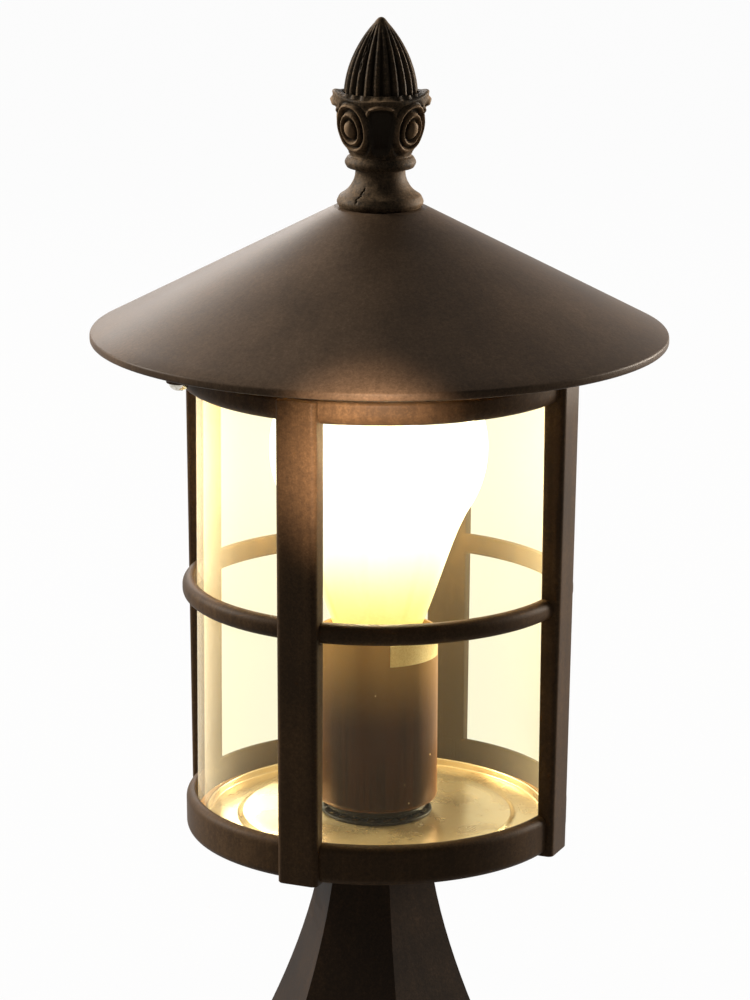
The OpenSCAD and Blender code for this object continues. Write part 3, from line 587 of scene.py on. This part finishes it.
def build_seat():
    """A short ring with a rounded shoulder and a shallow groove round its side."""
    low, high, out = low_high("sleeve_seat")
    mid = (low + high) / 2
    corners = [
        (rod_hole_r, low), (out, low, 0.3), (out, mid - 0.4, 0.1), (out - 0.4, mid, 0.3),
        (out, mid + 0.4, 0.1), (out, high, 0.9), (rod_hole_r, high)]
    return turned_piece("black_seat", rounded(corners, step=0.2), 160, "sleeve_seat")


def build_fibre_washer():
    """A flat ring with soft edges."""
    low, high, out = low_high("fibre_washer")
    corners = [(rod_hole_r, low), (out, low, 0.4), (out, high, 0.5), (rod_hole_r, high)]
    return turned_piece("dark_washer", rounded(corners, step=0.15), 160, "fibre_washer")


def build_star_washer():
    """A flat ring whose rim is a wave of square-shouldered teeth, each twisted so that one edge stands up."""
    low, high, out = low_high("star_washer")
    tooth_count, half_t = 20, 0.28
    angle = even_angles(960)
    phase = (angle * tooth_count / (2 * np.pi)) % 1.0
    tooth = fade(phase, 0.18, 0.26) * (1 - fade(phase, 0.74, 0.82))
    r = np.array([rod_hole_r, out - 2.6, out - 2.0, out - 1.0, out - 0.1, out])[:, None]
    reach = np.where(r > out - 2.6, out - 2.5 + (r - out + 2.6) * (0.04 + 0.96 * tooth), r)
    twist = (phase - 0.5) * 1.3 * tooth * fade(r, out - 2.6, out)
    rings = []
    for side in (1, -1):
        z = (low + high) / 2 + side * half_t + np.clip(twist, -0.2, 0.2)
        rings.append(polar(reach, angle, z))
    loop = np.concatenate([rings[0], rings[1][::-1]]) * mm
    return make_piece("toothed_washer", [(loop, True, True)], ["star_washer"])


drawn_sleeve = build_sleeve()
black_seat = build_seat()
dark_washer = build_fibre_washer()
toothed_washer = build_star_washer()

# %% [markdown]
# ## The bulb
# Blown glass has no corners at all: a ball that runs down into the neck by one
# smooth curve. Its wall is thin, so the outline goes up outside and comes back
# down inside. The lit wire is a fine coil: a helix carried round a ring, where
# the frame has its filament.


# %% Bulb
def bulb_outline(inset, low, top, radius, neck):
    """Up from the neck by a cubic curve to where it touches the ball, then the ball's arc to the pole."""
    meet_angle = np.radians(-32.0)
    middle = top - radius
    r = radius - inset
    meet = np.array([r * np.cos(meet_angle), middle + r * np.sin(meet_angle)])
    handle = meet + 0.35 * radius * np.array([np.sin(meet_angle), -np.cos(meet_angle)])
    start = np.array([neck - inset, low + 4.4])
    lower = bezier(start, start + [0.195 * radius, 0.3 * radius - 0.4], handle, meet, 36)
    t = np.linspace(meet_angle, np.pi / 2, 48)[1:]
    ball = np.stack([r * np.cos(t), middle + r * np.sin(t)], -1)
    return np.concatenate([[[neck - inset, low]], lower, ball])


def build_bulb():
    """The outer wall joined to the inner wall at the neck's lower edge; both close at their own pole."""
    low, top, _ = low_high("bulb_globe")
    radius, wall = 40.0, 0.8
    neck = low_high("bulb_cap")[2] - 1.2
    outer = bulb_outline(0.0, low, top, radius, neck)
    inner = bulb_outline(wall, low, top, radius, neck)
    outline = np.concatenate([inner[::-1], outer])
    return make_piece("blown_bulb", [(turned(outline, 192), False, True)], ["bulb_globe"])


def build_cap():
    """A sleeve whose radius waves with the phase z / pitch - angle, so the wave climbs as a thread does."""
    low, high, out = low_high("bulb_cap")
    cap_r, wave, pitch = 13.2, 0.9, 3.6
    angle = even_angles(160)
    z = np.linspace(low + 1.5, high - 4.0, 90)[:, None]
    on_thread = fade(z, low + 1.5, low + 4.0) * (1 - fade(z, high - 7.5, high - 4.0))
    swing = 0.5 + 0.5 * np.cos(2 * np.pi * (z / pitch - angle / (2 * np.pi)))
    outside = cap_r - wave * (1 - on_thread * swing)
    below = [(cap_r - 3.6, low), (cap_r - 2.6, low), (cap_r - 1.3, low + 0.7)]
    collar = [(cap_r - 0.7, high - 3.0), (out, high - 0.3), (out - 0.2, high), (cap_r - 1.0, high)]
    back = [(cap_r - 1.0, high - 4.0), (cap_r - 1.7, high - 5.5), (cap_r - 1.7, low + 3.0),
            (cap_r - 3.6, low + 0.6)]
    rows = [polar(r, angle, level) for r, level in below] + [polar(outside, angle, z)]
    rows += [polar(r, angle, level) for r, level in collar + back]
    loop = np.concatenate(rows) * mm
    return make_piece("threaded_cap", [(loop, True, True)], ["bulb_cap"])


def tube_along(path, radius, sides):
    """A round section carried along a path: centre plus radius times (cos a side + sin a other)."""
    ahead = np.gradient(path, axis=0)
    ahead /= np.linalg.norm(ahead, axis=1)[:, None]
    side = np.cross(ahead, [0.02, 0.05, 1.0])
    side /= np.linalg.norm(side, axis=1)[:, None]
    other = np.cross(ahead, side)
    a = np.linspace(0, 2 * np.pi, sides, endpoint=False)[None, :, None]
    return path[:, None] + radius * (np.cos(a) * side[:, None] + np.sin(a) * other[:, None])


def build_filament():
    """A coil of fine wire round a ring: the ring's point plus a small circle that turns many times."""
    low = low_high("bulb_filament")[0]
    turns, per_turn, coil_r = 110, 10, 0.5
    t = np.linspace(0, 1, turns * per_turn)
    ring = np.radians(330.0) * t
    wave = 0.5 - 0.5 * np.cos(np.pi * 11 * t)
    coil = 2 * np.pi * turns * t
    r = 11.0 + coil_r * np.cos(coil)
    z = low + 0.6 + 3.0 * wave + coil_r * np.sin(coil)
    wire = tube_along(polar(r, ring, z) * mm, 0.11 * mm, 5)
    return make_piece("coiled_filament", [(wire, False, True)], ["bulb_filament"], 80)


blown_bulb = build_bulb()
threaded_cap = build_cap()
coiled_filament = build_filament()

# %% [markdown]
# ## A small language for finishes
# A finish is a tree of shader nodes. Wiring it by hand is slow to read, so one
# small class wraps a socket, and arithmetic on it adds the Math nodes. The other
# class is the finish itself: it makes any node from its type, its settings and
# its inputs, and it holds the shader whose sockets are set at the end.


# %% Finish helpers
class Value:
    """One output socket; +, -, *, / and ** with numbers or other values add Math nodes."""

    def __init__(self, finish, socket):
        self.finish = finish
        self.socket = socket

    def math(self, operation, *others):
        return self.finish.add("ShaderNodeMath", {"operation": operation}, [self, *others])

    def __add__(self, other):
        return self.math("ADD", other)

    __radd__ = __add__

    def __sub__(self, other):
        return self.math("SUBTRACT", other)

    def __rsub__(self, other):
        return self.finish.add("ShaderNodeMath", {"operation": "SUBTRACT"}, [other, self])

    def __mul__(self, other):
        return self.math("MULTIPLY", other)

    __rmul__ = __mul__

    def __truediv__(self, other):
        return self.math("DIVIDE", other)

    def __pow__(self, other):
        return self.math("POWER", other)

    def clipped(self):
        return self.finish.add("ShaderNodeClamp", {}, [self, 0.0, 1.0])

    def between(self, low, high):
        """0 below low and 1 above high, with a smooth step."""
        settings = {"interpolation_type": "SMOOTHSTEP", "data_type": "FLOAT"}
        return self.finish.add("ShaderNodeMapRange", settings, [self, low, high, 0.0, 1.0])


class Finish:
    """A material with one main shader, and a single way to add any other node."""

    def __init__(self, name):
        self.material = bpy.data.materials.new(name)
        self.material.use_nodes = True
        self.tree = self.material.node_tree
        self.tree.nodes.clear()
        self.main = self.tree.nodes.new("ShaderNodeBsdfPrincipled")
        self.output = self.tree.nodes.new("ShaderNodeOutputMaterial")
        self.tree.links.new(self.main.outputs[0], self.output.inputs["Surface"])

    def feed(self, socket, value):
        if isinstance(value, Value):
            self.tree.links.new(value.socket, socket)
        elif value is not None:
            socket.default_value = value

    def add(self, kind, settings=None, inputs=(), out=0):
        """A node of this kind; settings first, then inputs by position or by name."""
        node = self.tree.nodes.new(kind)
        for key, value in (settings or {}).items():
            setattr(node, key, value)
        pairs = inputs.items() if isinstance(inputs, dict) else enumerate(inputs)
        for key, value in pairs:
            self.feed(node.inputs[key], value)
        return Value(self, node.outputs[out])

    def place(self):
        return self.add("ShaderNodeTexCoord", out="Object")

    def split(self, vector, axis):
        return self.add("ShaderNodeSeparateXYZ", {}, [vector], out=axis)

    def stretched(self, scale):
        """Object coordinates multiplied by a scale for each axis."""
        inputs = {"Vector": self.place(), "Scale": scale}
        return self.add("ShaderNodeMapping", {"vector_type": "POINT"}, inputs)

    def from_axis(self, place):
        """Distance from the lantern's axis, kept just above zero."""
        x, y = self.split(place, "X"), self.split(place, "Y")
        return (x * x + y * y + 1e-8) ** 0.5

    def facing(self):
        """0 where the surface faces the eye, 1 where it is seen at a slant."""
        return self.add("ShaderNodeLayerWeight", {}, {"Blend": 0.5}, out="Facing")

    def around(self, turns, along):
        """A vector that changes with the direction from the axis, by turns, and with the radius, by along."""
        place = self.place()
        x, y = self.split(place, "X"), self.split(place, "Y")
        r = self.from_axis(place)
        return self.add("ShaderNodeCombineXYZ", {}, [x / r * turns, y / r * turns, r * along])

    def noise(self, vector, scale, detail=4.0, rough=0.55):
        inputs = {"Vector": vector, "Scale": scale, "Detail": detail, "Roughness": rough}
        return self.add("ShaderNodeTexNoise", {"noise_dimensions": "3D"}, inputs, out="Fac")

    def mix(self, factor, a, b):
        """A colour between a and b."""
        node = self.tree.nodes.new("ShaderNodeMix")
        node.data_type = "RGBA"
        for name, value in (("Factor_Float", factor), ("A_Color", a), ("B_Color", b)):
            socket = next(s for s in node.inputs if s.identifier == name)
            self.feed(socket, value)
        return Value(self, next(s for s in node.outputs if s.identifier == "Result_Color"))

    def bump(self, height, depth_mm):
        inputs = {"Height": height, "Distance": depth_mm * mm, "Strength": 1.0}
        return self.add("ShaderNodeBump", {}, inputs, out="Normal")

    def blend(self, factor, first, second):
        """Makes the surface a mix of two shaders, the first at 0 and the second at 1."""
        both = self.tree.nodes.new("ShaderNodeMixShader")
        self.feed(both.inputs[0], factor)
        self.tree.links.new(first.outputs[0], both.inputs[1])
        self.tree.links.new(second.outputs[0], both.inputs[2])
        self.tree.links.new(both.outputs[0], self.output.inputs["Surface"])
        return self

    def set(self, **sockets):
        """Sets or links the main shader's sockets, named with spaces as underscores."""
        for name, value in sockets.items():
            self.feed(self.main.inputs[name.replace("_", " ")], value)
        return self


def paint(red, green, blue):
    """A colour given as it looks on a screen, 0 to 255, turned into the linear values that shaders use."""
    c = np.array([red, green, blue]) / 255.0
    linear = np.where(c <= 0.04045, c / 12.92, ((c + 0.055) / 1.055) ** 2.4)
    return (*[float(v) for v in linear], 1.0)


def dress(finish, *pieces):
    """Gives the material to CAD nodes, by name, or to new pieces."""
    for piece in pieces:
        target = nodes[piece] if isinstance(piece, str) else piece
        target.data.materials.clear()
        target.data.materials.append(finish.material)


# %% [markdown]
# ## The antique paint
# The castings are sprayed black-brown and brushed with a thinner brown, so the
# colour lies in fine streaks along the brush: down the bars, and from the crown
# to the edge on the roof. One noise, drawn out along the brush, makes the
# streaks, a wide one the clouds, and two fine ones the sandy skin of the casting.
# On the finial the paint is also worn paler where the relief stands out, and darkened in the hollows as
# painted shade.


# %% Antique paint
def antique_paint(name, streak_vector, dark, mid, pale, rough, grain_mm, brush, wear_and_shade=0.0):
    """Brush streaks, clouds, sand, and wear with painted shade make one value; colour goes dark, mid, pale
    with it.
    """
    f = Finish(name)
    vector = streak_vector(f)
    fine = f.noise(vector, 1.0, detail=6.0, rough=0.62)
    cloud = f.noise(f.place(), 26.0, detail=4.0)
    sand = f.noise(f.place(), 1500.0, detail=2.0)
    speck = f.noise(f.place(), 620.0, detail=3.0, rough=0.7)
    value = (fine - 0.5) * brush + (cloud - 0.5) * 0.5 + (sand - 0.5) * 0.25 + (speck - 0.5) * 0.35 + 0.5
    if wear_and_shade:
        # The worn attribute: paler ridges are wear, darker hollows are painted shade.
        worn = f.add("ShaderNodeAttribute", {"attribute_name": "worn"}, out="Fac")
        value = value + (worn - 0.5) * wear_and_shade
    first = f.mix(value.between(0.38, 0.54), dark, mid)
    colour = f.mix(value.between(0.50, 0.68), first, pale)
    f.set(Base_Color=colour, Roughness=rough + (value - 0.5) * 0.2, Metallic=0.0, Specular_IOR_Level=0.045)
    return f.set(Normal=f.bump(sand * 0.5 + speck * 0.5, grain_mm))


down_the_bars = lambda f: f.stretched((260.0, 260.0, 9.0))
down_the_roof = lambda f: f.around(34.0, 18.0)

roof_paint = antique_paint(
    "roof_paint", down_the_roof, paint(62, 50, 39), paint(75, 61, 48), paint(90, 74, 60), 0.44, 0.06, 0.12)
cage_paint = antique_paint(
    "cage_paint", down_the_bars, paint(50, 38, 26), paint(62, 47, 32), paint(78, 60, 41), 0.50, 0.06, 0.30)
foot_paint = antique_paint(
    "foot_paint", down_the_bars, paint(30, 22, 15), paint(40, 30, 21), paint(56, 42, 30), 0.50, 0.06, 0.30)
finial_paint = antique_paint(
    "finial_paint", lambda f: f.stretched((420.0, 420.0, 260.0)),
    paint(40, 33, 24), paint(82, 68, 52), paint(120, 100, 78), 0.55, 0.12, 0.26, wear_and_shade=0.5)
dress(roof_paint, roof_cone)
dress(cage_paint, cast_cage)
dress(foot_paint, "foot")
dress(finial_paint, carved_finial)

# %% [markdown]
# ## Clear glass
# The tube is thin, so it hardly bends light: what shows is a faint straw colour,
# partly the glass's own tint and partly a painted glow, and walls that look
# thicker towards the edges, which are painted glow. A see-through shader is mixed
# with a glowing one, more of it where the glass is seen at a slant. The bulb has
# the same finish, but it glows strongly, and it is cloudy above its neck.


# %% Glass finishes
def clear_glass(name, body, glow_colour, low_glow_colour, levels, through, glow_veil, edge, glow, cloudy=0.0):
    """The glowing share is an even part, plus an edge part times the slant cubed, plus a cloudy part low
    down; on the tube this glow is painted light.
    """
    f = Finish(name)
    smear = f.noise(f.stretched((30.0, 30.0, 4.0)), 1.0, detail=3.0)
    height = f.split(f.place(), "Z").between(levels[0] * mm, levels[1] * mm)
    speckle = f.noise(f.place(), 700.0, detail=3.0, rough=0.7)
    low_part = (1 - height) * (cloudy + (speckle - 0.5) * cloudy * 1.2)
    share = (f.facing() ** 3 * edge + glow_veil + low_part + (smear - 0.5) * 0.02).clipped()
    f.set(Base_Color=body, Roughness=0.06, Metallic=0.0, IOR=1.45, Specular_IOR_Level=0.8)
    f.set(Emission_Color=f.mix(height, low_glow_colour, glow_colour), Emission_Strength=glow)
    clear = f.tree.nodes.new("ShaderNodeBsdfTransparent")
    clear.inputs["Color"].default_value = through
    return f.blend(share, clear, f.main)


bulb_low = low_high("bulb_globe")[0]
# The tube is no lamp: its even glow and its brighter slanted edges are a painted glow.
tube_glass = clear_glass(
    "tube_glass", paint(250, 236, 208), paint(250, 236, 208), paint(246, 232, 200), (glass_low, glass_top),
    (1.0, 0.994, 0.920, 1.0), 0.020, 0.32, 0.40)
bulb_glass = clear_glass(
    "bulb_glass", paint(14, 11, 6), paint(255, 250, 232), paint(182, 168, 98), (bulb_low + 16, bulb_low + 66),
    (1.0, 0.995, 0.95, 1.0), 0.34, 0.50, 2.4, cloudy=0.28)
dress(tube_glass, clear_tube)
dress(bulb_glass, blown_bulb, "bulb_stem")

# %% [markdown]
# ## Metals, plastics and paper
# Each small part still gets its own grain: drawn lines on the sleeve, rings from
# the spinning tool on the tray, and a fine mottle on plating and plastic.


# %% Metal finishes
def bronzed_sleeve():
    """Lengthwise draw lines in two browns, with a painted sheen towards its edges, a painted warm glow of the
    bulb towards its top, and a few fine bright specks.
    """
    f = Finish("bronzed_sleeve")
    place = f.place()
    lines = f.noise(f.stretched((700.0, 700.0, 10.0)), 1.0, detail=5.0, rough=0.65)
    patches = f.noise(f.stretched((60.0, 60.0, 14.0)), 1.0, detail=3.0)
    streak = lines * 0.45 + patches * 0.55
    colour = f.mix(streak.between(0.40, 0.62), paint(24, 10, 3), paint(52, 26, 9))
    # Painted sheen: paler where the sleeve is seen at a slant.
    colour = f.mix((f.facing() ** 2.6).clipped(), colour, paint(150, 100, 54))
    # Painted glow of the bulb: warmer and paler towards the top.
    rim = low_high("cover_sleeve")[1] * mm
    painted_bulb_glow = f.split(place, "Z").between(rim - 0.036, rim + 0.008)
    colour = f.mix(painted_bulb_glow * 0.60, colour, paint(200, 156, 90))
    cells = {"Vector": place, "Scale": 240.0}
    specks = f.add("ShaderNodeTexVoronoi", {"feature": "F1"}, cells, out="Distance")
    here = f.noise(place, 330.0, detail=1.0).between(0.60, 0.66)
    dot = (1 - specks.between(0.06, 0.12)) * here
    colour = f.mix(dot, colour, paint(236, 206, 150))
    f.set(Base_Color=colour, Metallic=0.35, Roughness=0.42 + (lines - 0.5) * 0.2, Specular_IOR_Level=0.2)
    return f.set(Normal=f.bump(lines, 0.02))


def spun_metal():
    """Fine rings about the axis: a sine of the radius, broken by noise, in roughness and height."""
    f = Finish("spun_metal")
    place = f.place()
    wander = f.noise(place, 60.0)
    rings = (f.from_axis(place) * 5200.0 + wander * 9.0).math("SINE") * 0.5 + 0.5
    stain = f.noise(place, 38.0, detail=5.0)
    colour = f.mix(stain.between(0.42, 0.68), paint(218, 198, 156), paint(186, 162, 120))
    f.set(Base_Color=colour, Metallic=0.65, Roughness=0.24 + rings * 0.02 + (stain - 0.5) * 0.16)
    return f.set(Normal=f.bump(rings * 0.02 + stain * 0.5, 0.02))


def plain_metal(name, colour, worn, rough):
    """Plated metal: a fine mottle between two colours, and a roughness that follows it."""
    f = Finish(name)
    mottle = f.noise(f.place(), 420.0, detail=5.0)
    f.set(Base_Color=f.mix(mottle.between(0.4, 0.65), colour, worn), Metallic=1.0)
    f.set(Roughness=rough + (mottle - 0.5) * 0.2)
    return f.set(Normal=f.bump(mottle, 0.01))


def moulded(name, colour, shade, rough, grain=900.0, shine=0.5):
    """Moulded or paper-like stuff: two close colours mottled, with a fine grain in the surface."""
    f = Finish(name)
    mottle = f.noise(f.place(), grain, detail=3.0)
    f.set(Base_Color=f.mix(mottle.between(0.35, 0.7), colour, shade))
    f.set(Metallic=0.0, Specular_IOR_Level=shine)
    f.set(Roughness=rough + (mottle - 0.5) * 0.15)
    return f.set(Normal=f.bump(mottle, 0.015))


def hot_wire():
    """Tungsten at full heat: a warm white that gives light, in two close tints along the coil."""
    f = Finish("hot_wire")
    heat = f.noise(f.place(), 260.0, detail=1.0)
    f.set(Emission_Color=f.mix(heat, paint(255, 214, 140), paint(255, 240, 205)), Emission_Strength=40.0)
    return f.set(Base_Color=paint(255, 226, 170), Roughness=0.5, Metallic=0.0)


dress(bronzed_sleeve(), drawn_sleeve)
dress(spun_metal(), spun_tray)
dress(hot_wire(), coiled_filament)

metals = [
    ([pan_screws, "finial_stud", "finial_washer", "finial_nut", "threaded_rod", "rod_lower_washer",
      "rod_lower_nut", "rod_upper_nut", "terminal_bracket", "bulb_leads"],
     "bright_zinc", (214, 210, 200), (170, 164, 150), 0.25),
    ([toothed_washer], "dark_steel", (58, 46, 32), (30, 23, 16), 0.25),
    (["lampholder_shell", "lampholder_contact", "lampholder_terminals", "terminal_screws", "earth_screw"],
     "bare_brass", (214, 170, 92), (176, 132, 62), 0.30),
    ([threaded_cap, "bulb_contact"], "nickel_cap", (206, 198, 178), (168, 158, 136), 0.28)]
for pieces, name, colour, worn, rough in metals:
    dress(plain_metal(name, paint(*colour), paint(*worn), rough), *pieces)

mouldings = [
    ([black_seat, dark_washer, "lampholder_cap"], "black_moulding", (18, 14, 11), (28, 22, 17),
     0.45, 900.0, 0.15),
    (["lampholder_body"], "white_porcelain", (232, 226, 212), (216, 208, 190), 0.18, 300.0),
    (["terminal_block"], "white_moulding", (236, 232, 220), (222, 216, 202), 0.35),
    (["bulb_insulator"], "black_glass", (14, 14, 16), (26, 25, 28), 0.12),
    (["sleeve_label"], "cream_paper", (240, 226, 178), (228, 210, 160), 0.80, 1400.0),
    (["glass_gasket", "glass_top_gasket"], "amber_rubber", (226, 168, 74), (190, 126, 44), 0.45),
    (["wire_live"], "brown_covering", (92, 50, 28), (78, 42, 24), 0.55),
    (["wire_neutral"], "blue_covering", (40, 84, 160), (34, 72, 140), 0.55),
    (["wire_earth"], "green_covering", (70, 150, 60), (200, 190, 50), 0.55, 120.0)]
for pieces, name, colour, shade, *rest in mouldings:
    dress(moulded(name, paint(*colour), paint(*shade), *rest), *pieces)

# %% [markdown]
# ## Floor, background and light
# The picture has a plain white ground. The floor and the sky are dim, so that
# they hardly light the lantern, but they look white to the camera, in mirrors and
# through glass. Big soft lamps stand around, one warm lamp burns inside the bulb,
# and a small spot lays the bulb's glare on the front of the cage and the roof.


# %% Floor and world
def seen_ray(tree):
    """1 for rays that come from the camera, from a mirror or through glass."""
    path = tree.nodes.new("ShaderNodeLightPath")
    seen = path.outputs["Is Camera Ray"]
    for other in ("Is Glossy Ray", "Is Transmission Ray"):
        larger = tree.nodes.new("ShaderNodeMath")
        larger.operation = "MAXIMUM"
        tree.links.new(seen, larger.inputs[0])
        tree.links.new(path.outputs[other], larger.inputs[1])
        seen = larger.outputs[0]
    return seen


def lay_floor():
    """A wide square at the foot's height: grey paint, but nearly all plain white to the eye."""
    half = 12.0
    corners = np.array([[-half, -half, 0], [half, -half, 0], [half, half, 0], [-half, half, 0]])
    mesh = bpy.data.meshes.new("floor")
    mesh.from_pydata(corners.tolist(), [], [(0, 1, 2, 3)])
    floor = bpy.data.objects.new("floor", mesh)
    bpy.context.scene.collection.objects.link(floor)
    f = Finish("white_ground")
    f.set(Base_Color=paint(128, 128, 128), Roughness=0.9, Specular_IOR_Level=0.1)
    white = f.tree.nodes.new("ShaderNodeEmission")
    white.inputs["Color"].default_value = (1, 1, 1, 1)
    f.blend(Value(f, seen_ray(f.tree)) * 0.97, f.main, white)
    mesh.materials.append(f.material)


def light_the_world(level):
    """A plain sky that lights only to the level given, and looks white to the camera or a mirror."""
    world = bpy.data.worlds.new("studio")
    world.use_nodes = True
    tree = world.node_tree
    tree.nodes.clear()
    both = tree.nodes.new("ShaderNodeMixShader")
    tree.links.new(seen_ray(tree), both.inputs[0])
    for place, strength in ((1, level), (2, 1.0)):
        sky = tree.nodes.new("ShaderNodeBackground")
        sky.inputs["Color"].default_value = (1.0, 1.0, 1.0, 1.0)
        sky.inputs["Strength"].default_value = strength
        tree.links.new(sky.outputs[0], both.inputs[place])
    out = tree.nodes.new("ShaderNodeOutputWorld")
    tree.links.new(both.outputs[0], out.inputs["Surface"])
    bpy.context.scene.world = world


lay_floor()
light_the_world(0.04)


# %% Lamps
middle_z = 0.2


def soft_lamp(name, place, size, power, colour):
    """A square lamp that faces the middle of the lantern."""
    data = bpy.data.lights.new(name, "AREA")
    data.shape = "SQUARE"
    data.size = size
    data.energy = power
    data.color = colour
    ahead = np.array([0.0, 0.0, middle_z]) - np.array(place)
    ahead = ahead / np.linalg.norm(ahead)
    side = np.cross(ahead, [0, 0, 1])
    side = side / np.linalg.norm(side)
    stand(bpy.data.objects.new(name, data), side, np.cross(side, ahead), -ahead, place)


def from_camera(turn, rise, reach):
    """A place at an angle to the camera's direction, a rise above level and a reach from the axis."""
    a, e = azimuth + np.radians(turn), np.radians(rise)
    return (np.sin(a) * np.cos(e) * reach, -np.cos(a) * np.cos(e) * reach, middle_z + np.sin(e) * reach)


def light_bulb(power):
    """The lamp in the bulb: a warm ball of light where the coil hangs."""
    data = bpy.data.lights.new("bulb_light", "POINT")
    data.energy = power
    data.color = (1.0, 0.82, 0.58)
    data.shadow_soft_size = 0.016
    lamp = bpy.data.objects.new("bulb_light", data)
    lamp.location = (0.0, 0.0, low_high("bulb_filament")[0] * mm + 0.004)
    bpy.context.scene.collection.objects.link(lamp)


def glow_lamp(power, spread):
    """The burning bulb's glare on the front of the top ring and the roof's edge, as one warm soft spot."""
    reach = 0.6
    towards = np.array(from_camera(0, 15, 1.0)) - [0, 0, middle_z]
    side = np.array([np.cos(azimuth), np.sin(azimuth), 0.0])
    aim = towards * [0.072, 0.072, 0] - side * 0.004 + [0, 0, 0.250]
    data = bpy.data.lights.new("glow_lamp", "SPOT")
    data.energy = power
    data.color = (1.0, 0.76, 0.56)
    data.spot_size = 2 * np.arctan(spread / reach)
    data.spot_blend = 1.0
    data.shadow_soft_size = 0.01
    lamp = bpy.data.objects.new("glow_lamp", data)
    stand(lamp, side, np.cross(side, -towards), towards, aim + towards * reach)


soft_lamp("key_lamp", from_camera(-110, 28, 1.6), 0.7, 52.0, (1.0, 0.92, 0.82))
soft_lamp("side_lamp", from_camera(122, 10, 1.6), 0.6, 56.0, (1.0, 0.88, 0.74))
soft_lamp("back_lamp", from_camera(-164, 24, 1.8), 0.8, 17.0, (1.0, 0.93, 0.87))
light_bulb(3.3)
glow_lamp(150.0, 0.038)

# %% [markdown]
# ## Last words
# The view transform is Standard, so colours come out as written.

# %% Finish
bpy.context.scene.view_settings.view_transform = "Standard"
